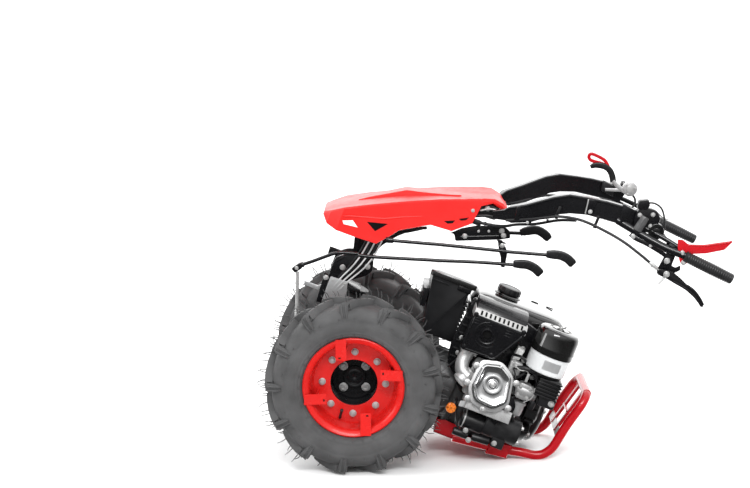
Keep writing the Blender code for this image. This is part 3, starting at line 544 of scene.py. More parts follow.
def tyre(side, suffix):
    """Tyre with leaning lugs, sidewall ribs and moulding whiskers."""
    node = "tyre_" + suffix
    low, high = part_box(node)
    radius = (high.z - low.z) / 2
    centre = (low.y + high.y) / 2
    base = radius - 0.021
    piece = Piece("tyre_%s_tread" % suffix, "wheel_" + suffix, "tyre", stands_for=(node,),
                  slot="rubber", at=WHEELS, sharp=44.0)

    def at(turn, r, out):
        """Wheel place: angle seen from the left, radius and distance from the tyre's middle."""
        return Vector((r * math.cos(turn), centre + out, r * math.sin(turn)))

    # carcass: bead, rim ribs, bulging sidewall, shoulder and tread floor
    right = [(0.1285, 0.034), (0.129, 0.044), (0.144, 0.0445), (0.1475, 0.051),
             (0.15, 0.0555), (0.153, 0.0562), (0.156, 0.059), (0.16, 0.0612),
             (0.1625, 0.061), (0.1655, 0.0632), (0.18, 0.0668), (0.19, 0.0682),
             (0.1925, 0.0676), (0.1955, 0.069), (0.203, 0.0686), (0.212, 0.066),
             (0.219, 0.061), (base - 0.003, 0.054), (base, 0.043), (base + 0.002, 0.02)]
    profile = [(r, out) for r, out in right] + [(r, -out) for r, out in reversed(right)]
    bm = bmesh.new()
    skin(bm, [[bm.verts.new(at(2 * math.pi * k / CARCASS_SIDES, r, out))
               for k in range(CARCASS_SIDES)] for r, out in profile], closed=True)
    piece.take(bm)

    pitch = 2 * math.pi / LUGS
    whiskers = random.Random(11 if side < 0 else 12)
    for face in (-1, 1):
        for k in range(LUGS):
            # the left wheel's outward face is -Y, and the tread's other half is half a step on
            start = LUG_FIRST + pitch * k + (0.0 if face == side else pitch / 2)
            # middle of the tread out to the shoulder: (share of the sweep, radius, out, half width)
            spine = [(1.06, radius - 0.001, -0.006, 0.01), (0.8, radius, 0.012, 0.0105),
                     (0.52, radius, 0.03, 0.011), (0.24, radius - 0.0015, 0.047, 0.0118),
                     (0.06, radius - 0.0045, 0.0595, 0.0125), (0.0, radius - 0.012, 0.0665, 0.0118),
                     (0.0, radius - 0.024, 0.0695, 0.0105), (0.0, radius - 0.038, 0.07, 0.009),
                     (0.0, radius - 0.046, 0.069, 0.008)]
            bm = bmesh.new()
            rows = []
            for lean, r, out, width in spine:
                turn = start - LUG_SWEEP * lean
                root = r - 0.004 if out > SHOULDER else min(base - 0.004, r - 0.006)
                sunk = 0.0 if out < SHOULDER else 0.011
                w = width / r
                rows.append([bm.verts.new(at(turn - w, r, face * out)),
                             bm.verts.new(at(turn + w, r, face * out)),
                             bm.verts.new(at(turn + w * LUG_TAPER, root, face * (out - sunk))),
                             bm.verts.new(at(turn - w * LUG_TAPER, root, face * (out - sunk)))])
            skin(bm, rows)
            bmesh.ops.recalc_face_normals(bm, faces=bm.faces)
            edges = [e for e in bm.edges if len(e.link_faces) == 2
                     and e.calc_face_angle() > math.radians(45)]
            bmesh.ops.bevel(bm, geom=edges, offset=LUG_BEVEL, segments=1, profile=0.5,
                            affect="EDGES")
            piece.take(bm)
            # raised double rib on the lug's foot
            for offset in (-0.0055, 0.0055):
                foot = [at(start + offset / 0.22, r, face * out) for r, out in
                        ((radius - 0.006, 0.064), (radius - 0.014, 0.069),
                         (radius - 0.026, 0.0716), (radius - 0.042, 0.0714),
                         (radius - 0.052, 0.0696))]
                piece.sweep(foot, circle(0.0024, 8), scale=[1.0, 1.1, 1.1, 0.9, 0.5])
            # moulding whiskers on the lug's crown, none where the tyre meets the floor
            for share in (0.12, 0.22, 0.5, 0.62, 0.9):
                turn = start - LUG_SWEEP * share
                down = -math.sin(turn)
                if down > WHISKERS_END:
                    continue
                out = 0.008 + 0.048 * (1 - share)
                length = 0.014 + 0.014 * whiskers.random()
                if down > WHISKERS_SHORTEN:
                    length *= 0.5
                bend = whiskers.uniform(-0.05, 0.05)
                root = at(turn, radius - 0.002, face * out)
                mid = at(turn + bend * 0.3, radius + length * 0.5, face * (out + 0.001))
                tip = at(turn + bend, radius + length, face * (out + 0.004))
                piece.sweep([root, mid, tip], circle(WHISKER, 5), scale=WHISKER_TAPER)
        # short whiskers round the sidewall
        for k in range(26):
            turn = LUG_FIRST + 2 * math.pi * (k + 0.5 * whiskers.random()) / 26
            for r in (0.15, 0.2):
                out = 0.056 if r < 0.18 else 0.0692
                bend = whiskers.uniform(-0.02, 0.02)
                piece.sweep([at(turn, r, face * (out - 0.002)),
                             at(turn + bend * 0.4, r + 0.002, face * (out + 0.003)),
                             at(turn + bend, r + 0.006, face * (out + 0.005))],
                            circle(SHORT_WHISKER, 5), scale=WHISKER_TAPER)
    piece.done()


def rim(side, suffix):
    """Pressed rim with rolled flanges, four welded lugs, disc bolts and a valve stem."""
    low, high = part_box("rim_" + suffix)
    centre = (low.y + high.y) / 2
    half = (high.y - low.y) / 2
    flange = (high.z - low.z) / 2
    disc = -0.0105
    hole = 0.0667
    barrel = flange - 0.0195
    turn = facing((0, side, 0), (0, centre, 0))
    piece = Piece("rim_%s_pressing" % suffix, "wheel_" + suffix, "red", "steel", "rubber",
                  "dark", stands_for=("rim_" + suffix,), slot="red_paint", at=WHEELS)
    wall = 0.0028
    profile = [(flange - 0.0015, half - 0.0012), (
        flange, half - 0.003), (flange - 0.0004, half - 0.005), (flange - 0.004, half - 0.0052),
        (barrel + wall + 0.006, half - 0.0075), (barrel + wall + 0.001, half - 0.014),
        (barrel + wall, half - 0.022), (barrel - 0.004, 0.004), (barrel - 0.004, -0.02),
        (barrel + wall, -half + 0.02), (barrel + wall + 0.003, -half + 0.01),
        (flange - 0.004, -half + 0.0052), (flange, -half + 0.004), (flange - 0.001, -half + 0.001),
        (flange - 0.006, -half), (barrel + 0.003, -half + 0.005), (barrel - 0.001, -half + 0.014),
        (barrel - 0.0068, -0.02), (barrel - 0.0068, disc - 0.004), (hole, disc - 0.004),
        (hole, disc - 0.0005), (hole + 0.0006, disc), (barrel - 0.016, disc),
        (barrel - 0.01, disc + 0.0015), (barrel - 0.0072, disc + 0.006), (barrel - 0.0068, 0.004),
        (barrel - 0.001, half - 0.024), (barrel, half - 0.014), (barrel + 0.004, half - 0.0065),
        (flange - 0.007, half - 0.0018), (flange - 0.004, half - 0.0002)]
    piece.lathe(profile, 0, turn, 96, closed=True)
    # four flat lugs welded to the flange and held proud of the disc, each set off to one side
    away, half_lug = 0.0345, 0.015
    reach = math.sqrt((flange - 0.001) ** 2 - away ** 2)
    lug = [(reach, half + 0.001), (0.106, half - 0.004), (0.076, half - 0.012),
           (0.076, half - 0.0155), (0.105, half - 0.008), (reach, half - 0.0035)]
    leg = [(0.1, half - 0.01), (0.104, half - 0.009), (0.104, disc), (0.1, disc)]
    for angle in ring_angles(4):
        spin = turn @ Matrix.Rotation(angle, 4, "Z")
        for outline in (lug, leg):
            bm = bmesh.new()
            face = bm.faces.new([bm.verts.new((x, away - half_lug, z)) for x, z in outline])
            grown = bmesh.ops.extrude_face_region(bm, geom=[face])
            for vert in (g for g in grown["geom"] if isinstance(g, bmesh.types.BMVert)):
                vert.co.y = away + half_lug
            piece.take(bm, 0, spin)
        # dark disc on each lug: painted shade standing for the lug's hole
        piece.lathe([(0, 0), (0.0036, 0), (0.0036, 0.0012), (0, 0.0012)], 3,
                    spin @ Matrix.Translation((0.084, away + 0.004, half - 0.0108)), 16)
    # bolts through the disc
    for k in range(8):
        angle = math.radians(45 * k - 2)
        at = turn @ Vector((0.0895 * math.cos(angle), 0.0895 * math.sin(angle), disc))
        piece.bolt(at, (0, side, 0), 0.013, 1, head=0.0085)
    # valve stem through the barrel
    foot = turn @ Vector((-0.052, -0.098, disc + 0.012))
    foot.x = -0.04
    foot.z = -0.1
    tip = foot + Vector((0.006, side * 0.02, 0.026))
    piece.rod(foot, tip, 0.0042, 0.0036, 2, 14, 0.001)
    piece.rod(tip, tip + (tip - foot).normalized() * 0.006, 0.005, 0.0046, 2, 14, 0.001)
    piece.done()


def hub(side, suffix):
    """Cup hub behind the disc: drum wall, turned floor with its centre boss, four socket bolts."""
    low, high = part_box("hub_" + suffix)
    centre = sum(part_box("rim_" + suffix)[k].y for k in (0, 1)) / 2
    floor = -0.081
    back = -0.087
    cup = 0.0647
    top = -0.0148
    turn = facing((0, side, 0), (0, centre, 0))
    piece = Piece("hub_%s_drum" % suffix, "wheel_" + suffix, "black", "steel",
                  stands_for=("hub_" + suffix,), slot="black_paint", at=WHEELS)
    stub = abs(low.y if side > 0 else high.y) - abs(centre)
    profile = [(0, stub), (0.0165, stub), (0.0175, stub + 0.001), (0.0175, back),
               (cup + 0.005, back), (cup + 0.006, back + 0.001), (cup + 0.006, top - 0.006),
               (0.105, top - 0.006), (0.106, top - 0.005), (0.106, top), (cup + 0.001, top),
               (cup, top - 0.001), (cup, floor + 0.004), (cup - 0.003, floor + 0.0005),
               (0.054, floor), (0.053, floor - 0.001), (0.05, floor - 0.001),
               (0.049, floor), (0.033, floor), (0.032, floor + 0.0035), (0.031, floor + 0.0045),
               (0.025, floor + 0.0045), (0.024, floor + 0.0038), (0.0226, floor + 0.0038),
               (0.0216, floor + 0.0045), (0.005, floor + 0.0045), (0.003, floor + 0.003),
               (0, floor + 0.0028)]
    piece.lathe(profile, 0, turn, 72)
    for sx in (-1, 1):
        for sz in (-1, 1):
            at = turn @ Vector((sx * 0.032, sz * 0.031, floor))
            piece.bolt(at, (0, side, 0), 0.0165, 1, washer=True, head=0.009, socket=True)
    piece.done()


# ---------------------------------------------------------------- bumper and skid plate
def bumper():
    """Bent-tube bumper with rolled corners, inner bars, rung and flat strap."""
    tube = 0.0135
    half = machine_box("bumper")[1].y - tube
    wide = Piece("bumper_hoop", "chassis", "bumper", "steel", stands_for=("bumper",),
                 slot="bumper_red")
    top = Vector((0.647, 0, 0.184))
    knee = Vector((0.606, 0, 0.014))
    rise = (top - knee).normalized()
    bend = 0.045

    def leg(side):
        y = side * half
        return at_y(y, (0.33, -0.0705), (0.4, -0.0625), (0.458, -0.055), (0.5, -0.047),
                    (0.53, -0.0405), (0.55, -0.0375), (0.572, -0.0335), (0.591, -0.0235),
                    (0.604, -0.0075), (0.611, 0.008), (0.615, 0.03), (0.624, 0.086))

    def corner(side):
        points = []
        for k in range(9):
            turn = math.radians(90 * k / 8)
            up = rise * (bend * math.sin(turn) - bend)
            across = half - bend + bend * math.cos(turn)
            points.append((top.x + up.x, side * across, top.z + up.z))
        return points

    path = leg(-1) + corner(-1) + corner(1)[::-1] + leg(1)[::-1]
    wide.sweep(flow(path, 3), circle(tube, 20), roll=(0, 0, 1))
    start = knee + rise * 0.024
    for side in (-1, 1):
        y = side * 0.045
        wide.sweep([(start.x, y, start.z), tuple(start.lerp(top, 0.5) + Vector((0, y, 0))),
                    (top.x, y, top.z)], rounded(0.009, 0.024, 0.003, 2), roll=(0, 1, 0))
    middle = knee.lerp(top, 0.52)
    wide.sweep([(middle.x, -0.045, middle.z), (middle.x, 0, middle.z), (middle.x, 0.045, middle.z)],
               rounded(0.014, 0.006, 0.002, 2), roll=tuple(rise))
    strap = Matrix.Translation(start + rise * 0.008) @ Matrix.Rotation(
        math.atan2(rise.x, rise.z), 4, "Y")
    wide.block((-0.002, -half, -0.012), (0.002, half, 0.012), 0.001, 1, strap)
    # clamp plates that bolt the tubes to the skid plate
    for side in (-1, 1):
        y = side * half
        wide.side_plate([(0.434, -0.078), (0.44, -0.036), (0.498, -0.029), (0.496, -0.07)],
                        y - 0.0155, y + 0.0155, 0.003)
        for x in (0.352, 0.398):
            wide.bolt((x, y, -0.0705 + (x - 0.33) * 0.11 + tube - 0.001), (0, 0, 1), 0.013, 1)
    wide.done()

    low, high = machine_box("skid_plate")
    skid = Piece("skid_plate_pressing", "chassis", "bumper", "steel", stands_for=("skid_plate",),
                 slot="bumper_red")
    skid.block((low.x, low.y, low.z), (high.x, high.y, high.z - 0.001), 0.001)
    for side in (-1, 1):
        y = side * (high.y - 0.0015)
        skid.side_plate([(low.x, low.z), (low.x, low.z + 0.04), (low.x + 0.02, low.z + 0.046),
                         (0.34, low.z + 0.042), (0.372, low.z + 0.012), (high.x, low.z + 0.008),
                         (high.x, low.z)], y - 0.0015, y + 0.0015, 0.0006)
    skid.block((low.x, low.y, low.z), (low.x + 0.003, high.y, low.z + 0.03), 0.001)
    for x in (0.31, 0.42):
        for y in (-0.07, 0.07):
            skid.bolt((x, y, low.z), (0, 0, -1), 0.015, 1)
    skid.done()


# ---------------------------------------------------------------- engine
LEAN = math.radians(14.0)
CYLINDER = Matrix.Translation((0.366, 0.0, 0.088)) @ Matrix((
    (1, 0, 0, 0), (0, math.sin(LEAN), -math.cos(LEAN), 0), (0, math.cos(LEAN), math.sin(LEAN), 0),
    (0, 0, 0, 1)))
COVER = rounded_outline([(-0.054, -0.032), (-0.047, 0.043), (0.004, 0.056), (0.044, 0.031),
                         (0.056, -0.04), (0.024, -0.07), (-0.032, -0.066)], 0.012, 3)


def crankcase():
    """Cast crankcase with its ribs and oil filler, then the fan shroud and the recoil cover."""
    low, high = machine_box("crankcase")
    # the cast aluminium case is drawn in the dark casting, a painted shade of the shaded lower engine
    case = Piece("crankcase_casting", "chassis", "dull", "steel", "iron", "orange", "grey",
                 stands_for=("crankcase",), slot="cast_aluminium")
    case.block((low.x, low.y + 0.012, low.z + 0.012), (high.x, high.y - 0.012, high.z - 0.004),
               0.014, segments=3)
    case.block((low.x + 0.006, low.y, low.z), (high.x - 0.006, high.y, low.z + 0.014), 0.004)
    for x in (low.x + 0.014, low.x + 0.062, high.x - 0.062, high.x - 0.014):
        case.block((x - 0.003, low.y + 0.003, low.z + 0.01), (x + 0.003, high.y - 0.003, 0.03),
                   0.002)
    for k in range(5):
        z = 0.04 + 0.011 * k
        case.block((low.x + 0.03, low.y - 0.01, z), (high.x - 0.06, low.y + 0.04, z + 0.004),
                   0.0012)
    for x in (low.x + 0.02, 0.34, 0.4, high.x - 0.02):
        for z in (low.z + 0.022, 0.02):
            case.bolt((x, low.y + 0.012, z), (0, -1, 0), 0.011, 1, head=0.006)
            case.bolt((x, high.y - 0.012, z), (0, 1, 0), 0.011, 1, head=0.006)
    # oil filler with its orange cap and bracket
    case.rod((0.306, low.y + 0.02, 0.004), (0.291, low.y - 0.045, 0.014), 0.0125, mat=0,
             bevel=0.002)
    case.rod((0.291, low.y - 0.043, 0.0135), (0.289, low.y - 0.06, 0.0185), 0.015, mat=3,
             bevel=0.003)
    for k in range(3):
        spin = Matrix.Rotation(math.radians(60 * k + 20), 4, "Y")
        case.block((-0.014, -0.005, -0.003), (0.014, 0.006, 0.003), 0.0015, 3,
                   Matrix.Translation((0.289, low.y - 0.062, 0.019)) @ spin)
    case.side_plate([(0.307, 0.03), (0.335, 0.034), (0.337, 0.048), (0.319, 0.052),
                     (0.307, 0.046)], low.y - 0.056, low.y - 0.052, 0.001, 4)
    case.done()

    # flywheel end: shroud, louvres and recoil cover
    low = machine_box("fan_shroud")[0]
    shroud = Piece("fan_shroud_cover", "chassis", "plastic", "steel", "dark",
                   stands_for=("fan_shroud",), slot="black_plastic")
    outline = []
    for height, radius, degrees in ((0.06, 0.124, range(0, 181, 12)),
                                    (0.05, 0.093, range(192, 349, 12))):
        outline += [(0.01 + radius * math.cos(math.radians(a)),
                     height + radius * math.sin(math.radians(a))) for a in degrees]
    face = Matrix.Translation((low.x, 0, 0)) @ ACROSS
    loft(shroud, [scaled(outline, size, z, (0.01, 0.055)) for size, z in
                  ((1.0, 0.0), (1.0, 0.024), (0.97, 0.034), (0.88, 0.04))], 0, face)
    for k in range(14):
        angle = math.radians(196 - 15 * k)
        at = face @ Matrix.Translation((0.01 + 0.112 * math.cos(angle),
                                        0.058 + 0.112 * math.sin(angle), 0.0))
        spin = at @ Matrix.Rotation(angle, 4, "Z")
        # dark block behind each louvre: painted shade in the gaps between the louvres
        shroud.block((-0.016, -0.003, 0.006), (0.0155, 0.003, 0.03), 0.0012, 2, spin)
        shroud.block((-0.015, 0.0035, 0.004), (0.015, 0.0085, 0.0335), 0.0015, 0, spin)
    for angle in (30, 95, 150, 215, 325):
        a = math.radians(angle)
        shroud.bolt(face @ Vector((0.01 + 0.101 * math.cos(a), 0.055 + 0.09 * math.sin(a), 0.036)),
                    (1, 0, 0), 0.011, 1)
    shroud.done()

    low, high = machine_box("recoil_starter")
    recoil = Piece("recoil_cover", "chassis", "plastic", "dark", "steel",
                   stands_for=("recoil_starter",), slot="black_plastic")
    turn = facing((1, 0, 0), (low.x - 0.003, 0.01, 0.05))
    depth = high.x - low.x + 0.003
    recoil.lathe([(0, 0), (0.084, 0), (0.084, depth * 0.4), (0.08, depth * 0.62),
                  (0.07, depth * 0.86), (0.058, depth), (0.02, depth), (0.018, depth * 0.9),
                  (0, depth * 0.9)], 0, turn, 60)
    # dark radial blocks: painted shade standing for the openings of the cover's grille
    for k in range(12):
        spin = turn @ Matrix.Rotation(math.radians(30 * k), 4, "Z")
        recoil.block((0.03, -0.004, depth * 0.72), (0.056, 0.004, depth + 0.0006), 0.0018, 1, spin)
    for k in range(3):
        spin = turn @ Matrix.Rotation(math.radians(120 * k + 35), 4, "Z")
        recoil.bolt(spin @ Vector((0.073, 0, depth * 0.78)), (1, 0, 0), 0.01, 2)
    recoil.done()


def blower_housing():
    """Black pressed air guide that closes the space behind the head and carburettor."""
    guide = Piece("air_guide_pressing", "chassis", "black", "steel", "cable")
    outline = [(0.222, 0.196), (0.235, 0.3), (0.236, 0.334), (0.262, 0.334), (0.42, 0.318),
               (0.478, 0.296), (0.498, 0.21), (0.49, 0.08), (0.43, 0.05), (0.3, 0.06),
               (0.262, 0.106), (0.232, 0.13)]
    guide.side_plate(rounded_outline(outline, 0.012, 3), -0.126, -0.102, 0.004)
    for k in range(6):
        z = 0.15 + 0.024 * k
        guide.side_plate([(0.232, z), (0.3, z), (0.3, z + 0.006), (0.232, z + 0.006)], -0.1295,
                         -0.125, 0.0015)
    for x, z in ((0.246, 0.212), (0.252, 0.168), (0.47, 0.232), (0.478, 0.178), (0.44, 0.07),
                 (0.42, 0.246), (0.436, 0.216)):
        guide.bolt((x, -0.126, z), (0, -1, 0), 0.01, 1, head=0.005)
    runs = (((0.24, -0.132, 0.12), (0.256, -0.142, 0.16), (0.25, -0.14, 0.2),
             (0.262, -0.132, 0.24)), ((0.402, -0.14, 0.15), (0.424, -0.17, 0.168),
                                      (0.444, -0.178, 0.196), (0.438, -0.15, 0.236)),
            ((0.41, -0.15, 0.12), (0.432, -0.186, 0.098), (0.462, -0.19, 0.06),
             (0.47, -0.15, 0.03)), ((0.396, -0.15, 0.226), (0.42, -0.176, 0.232),
                                    (0.448, -0.17, 0.214), (0.462, -0.15, 0.19)),
            ((0.42, -0.14, 0.12), (0.4, -0.19, 0.086), (0.41, -0.194, 0.044), (0.44, -0.17, 0.03)))
    for k, run in enumerate(runs):
        guide.wire(run, 0.0032 + 0.0008 * (k % 2), 2, steps=6)
    # sheet guard beside the carburettor
    guide.side_plate([(0.404, 0.058), (0.424, 0.086), (0.436, 0.082), (0.43, 0.05), (0.418, 0.026),
                      (0.406, 0.034)], -0.204, -0.201, 0.0008)
    guide.done()


def cylinder():
    """Finned cylinder, cast head and the pressed valve cover."""
    head = Piece("cylinder_head_casting", "chassis", "cast", "steel", "iron",
                 stands_for=("cylinder_head",), slot="cast_aluminium", at=MACHINE @ CYLINDER)
    for k in range(7):
        z = 0.112 + 0.0075 * k
        head.prism(rounded(0.126, 0.112, 0.012), 0.0034, 0.001, 0, start=z)
    head.prism(rounded(0.1, 0.092, 0.02), 0.06, 0.0, 2, start=0.104)
    body = scaled_outline(COVER, 1.1)
    head.prism(body, 0.052, 0.006, 0, start=0.162, segments=3)
    head.prism(scaled_outline(COVER, 1.17), 0.009, 0.003, 0, start=0.212)
    # lugs and spark plug boss
    for x, y in ((-0.068, -0.024), (-0.06, 0.03), (0.063, 0.022), (0.066, -0.052),
                 (0.0, -0.079), (-0.052, -0.066)):
        head.rod((x, y, 0.186), (x, y, 0.2215), 0.0105, 0.0095, 0, 20, 0.002)
        head.bolt((x, y, 0.2215), (0, 0, 1), 0.01, 1, washer=False, head=0.005)
    head.rod((-0.064, 0.01, 0.18), (-0.088, -0.03, 0.186), 0.02, 0.024, 0, 24, 0.006)
    head.prism([(-0.05, -0.094), (0.085, -0.094), (0.085, -0.06), (-0.05, -0.06)], 0.01, 0.002, 0,
               start=0.196)
    head.done()

    cover = Piece("valve_cover_pressing", "chassis", "chrome", "steel", stands_for=("valve_cover",),
                  slot="bright_metal", at=MACHINE @ CYLINDER, sharp=30.0)
    base = 0.2222
    steps = [(1.02, 0.0), (1.02, 0.003), (0.975, 0.0045), (0.955, 0.006), (0.94, 0.016),
             (0.91, 0.0212), (0.87, 0.0228), (0.825, 0.0218), (0.77, 0.0185), (0.68, 0.0152),
             (0.56, 0.0138), (0.46, 0.015)]
    centre = (-0.001, -0.006)
    loft(cover, [scaled(COVER, size, base + z, centre) for size, z in steps], 0)
    cover.lathe([(0.0, 0.0135), (0.029, 0.0135), (0.029, 0.0165), (0.027, 0.0195),
                 (0.023, 0.0202), (0.0165, 0.018), (0.015, 0.016), (0.012, 0.0158),
                 (0.011, 0.018), (0.0085, 0.0188), (0.008, 0.0165), (0.0, 0.0165)], 0,
                Matrix.Translation((*centre, base)), 48)
    cover.bolt((*centre, base + 0.0165), (0, 0, 1), 0.01, 1, washer=False, head=0.006)
    cover.done()


def exhaust():
    """Muffler box with its folded heat shield, outlet ring and cast elbow."""
    low, high = machine_box("muffler")
    shield = Piece("muffler_shield", "chassis", "black", "steel", "dark", stands_for=("muffler",),
                   slot="black_paint")
    left, right, foot = low.x, high.x, low.z
    brow = high.z - 0.016
    face = [(left + 0.001, foot + 0.001), (0.346, foot + 0.004), (0.372, 0.246), (0.394, 0.286),
            (right - 0.002, brow - 0.004), (left + 0.002, brow)]
    shield.side_plate(rounded_outline(face, 0.01, 3), low.y + 0.01, high.y, 0.002)
    shield.side_plate(rounded_outline(face, 0.01, 3), low.y + 0.0015, low.y + 0.012, 0.0012)
    # folded brow with its row of slots, drawn as dark blocks that paint the shade inside the slots
    fold = [(low.y + 0.0015, brow - 0.001), (low.y + 0.015, high.z - 0.002),
            (high.y, high.z - 0.0005), (high.y, brow - 0.012), (low.y + 0.006, brow - 0.012)]
    shield.prism(fold, right - left - 0.004, 0.001, 1, Matrix.Translation((left + 0.002, 0, 0))
                 @ ACROSS)
    slope = math.atan2(high.z - 0.002 - brow, 0.0135)
    for k in range(10):
        x = left + 0.022 + k * (right - left - 0.04) / 9.0
        place = Matrix.Translation(
            (x, low.y + 0.008, (brow + high.z - 0.003) / 2)) @ Matrix.Rotation(slope, 4, "X")
        shield.block((-0.0028, -0.0075, -0.002), (0.0028, 0.0075, 0.0012), 0.0008, 2, place)
    # rounded top guard between the brow and the tank
    roof = [(low.y + 0.015, high.z - 0.004), (low.y + 0.023, high.z + 0.009),
            (low.y + 0.042, high.z + 0.021), (low.y + 0.07, high.z + 0.026),
            (high.y + 0.004, high.z + 0.024), (high.y + 0.004, high.z - 0.01),
            (low.y + 0.02, high.z - 0.01)]
    shield.prism(rounded_outline(roof, 0.006, 3), right - left - 0.01, 0.003, 0,
                 Matrix.Translation((left + 0.004, 0, 0)) @ ACROSS)
    # raised border and ribs pressed into the face
    rim = rounded_outline(face, 0.01, 3)
    centre_x, centre_z = 0.318, 0.258
    path = [(centre_x + (x - centre_x) * 0.93, low.y + 0.0012, centre_z + (z - centre_z) * 0.92)
            for x, z in rim]
    shield.sweep(path, circle(0.002, 8), closed=True)
    port = (0.3, low.y + 0.0015, 0.262)
    turn = facing((0, -1, 0), port)
    shield.lathe([(0.013, -0.006), (0.013, 0.006), (0.014, 0.0075), (0.0165, 0.0075),
                  (0.0185, 0.005), (0.019, 0.0012), (0.024, 0.0008), (0.026, 0.0022),
                  (0.0285, 0.0022), (0.03, -0.001), (0.03, -0.006)], 0, turn, 48, closed=True)
    # dark disc in the outlet ring: painted shade inside the outlet
    shield.lathe([(0, -0.004), (0.0135, -0.004), (0.0135, 0.0005), (0, 0.0005)], 2, turn, 32)
    shield.sweep([(port[0] + 0.036 * math.cos(math.radians(a)), low.y + 0.0008,
                   port[2] + 0.036 * math.sin(math.radians(a))) for a in range(100, 330, 10)],
                 circle(0.0018, 8))
    for k in range(3):
        z = 0.276 + 0.008 * k
        shield.side_plate([(0.345, z), (0.377, z), (0.377, z + 0.0034), (0.345, z + 0.0034)],
                          low.y + 0.0006, low.y + 0.004, 0.0008, 0)
        shield.side_plate([(0.252, z + 0.004), (0.27, z + 0.004), (0.27, z + 0.007),
                           (0.252, z + 0.007)], low.y + 0.0006, low.y + 0.004, 0.0008, 0)
    for x, z in ((0.252, 0.207), (0.333, 0.211), (0.394, 0.306), (0.25, 0.306)):
        shield.bolt((x, low.y + 0.0015, z), (0, -1, 0), 0.009, 0, head=0.004)
    shield.done()

    elbow = Piece("exhaust_elbow_casting", "chassis", "cast", "steel",
                  stands_for=("exhaust_elbow",), slot="cast_aluminium")
    run = [(0.276, -0.156, 0.2), (0.275, -0.158, 0.186), (0.27, -0.163, 0.168),
           (0.27, -0.17, 0.15), (0.278, -0.178, 0.134), (0.298, -0.186, 0.124)]
    elbow.wire(run, 0.0195, sides=24)
    elbow.prism(rounded_outline([(-0.026, -0.017), (0.026, -0.017), (0.026, 0.017),
                                 (-0.026, 0.017)], 0.01), 0.008, 0.002, 0,
                Matrix.Translation((0.277, -0.156, 0.19)))
    for x in (-0.019, 0.019):
        elbow.bolt((0.277 + x, -0.156, 0.1905), (0, 0, -1), 0.01, 1, head=0.007)
    elbow.done()


def fuel():
    """Fuel tank of two pressings with a seam flange, filler cap and mounting tabs."""
    low, high = machine_box("fuel_tank")
    tank = Piece("fuel_tank_shell", "chassis", "gloss", "black", "steel", stands_for=("fuel_tank",),
                 slot="gloss_black", sharp=50.0)
    centre = ((low.x + high.x) / 2, (low.y + high.y) / 2)
    wide, deep = high.x - low.x, high.y - low.y
    steps = [(low.z, 0.03), (low.z + 0.004, 0.02), (low.z + 0.016, 0.009), (low.z + 0.034, 0.004),
             (high.z - 0.046, 0.0035), (high.z - 0.045, 0.0), (high.z - 0.0425, 0.0),
             (high.z - 0.0415, 0.0035), (high.z - 0.028, 0.0045), (high.z - 0.018, 0.008),
             (high.z - 0.01, 0.014), (high.z - 0.0045, 0.023), (high.z - 0.0012, 0.036),
             (high.z, 0.056), (high.z + 0.0006, 0.08)]
    loft(tank, [slab(centre, wide, deep, 0.04, z, inset) for z, inset in steps], 0)
    for x in (low.x + 0.07, high.x - 0.04):
        tank.block((x - 0.014, low.y - 0.004, low.z - 0.04), (
            x + 0.014, low.y + 0.002, low.z + 0.03), 0.0015, 1)
        tank.bolt((x, low.y - 0.004, low.z - 0.022), (0, -1, 0), 0.012, 2)
    for x in (0.43, 0.478):
        tank.block((x - 0.011, 0.07, high.z), (x + 0.011, 0.078, high.z + 0.003), 0.0012, 1)
    tank.done()

    low, high = machine_box("fuel_cap")
    centre = ((low.x + high.x) / 2, (low.y + high.y) / 2)
    cap = Piece("fuel_cap_knob", "chassis", "plastic", "gloss", stands_for=("fuel_cap",),
                slot="black_plastic", sharp=32.0)
    base = Matrix.Translation((*centre, low.z - 0.003))
    cap.lathe([(0, 0), (0.04, 0), (0.0405, 0.004), (0.038, 0.007), (0.034, 0.0085),
               (0.0315, 0.0085), (0.0315, 0.012), (0, 0.012)], 1, base, 48)
    rim = []
    for k in range(72):
        wave = 0.0012 if k % 4 < 2 else 0.0
        angle = 2 * math.pi * k / 72
        rim.append(((0.0345 + wave) * math.cos(angle), (0.0345 + wave) * math.sin(angle)))
    lift = high.z - low.z
    loft(cap, [scaled(rim, 0.9, 0.009), scaled(rim, 1.0, 0.012), scaled(rim, 1.0, lift - 0.003),
               scaled(rim, 0.94, lift + 0.001), scaled(rim, 0.8, lift + 0.0025),
               scaled(rim, 0.76, lift + 0.0012), scaled(rim, 0.3, lift + 0.002)], 0, base)
    cap.done()


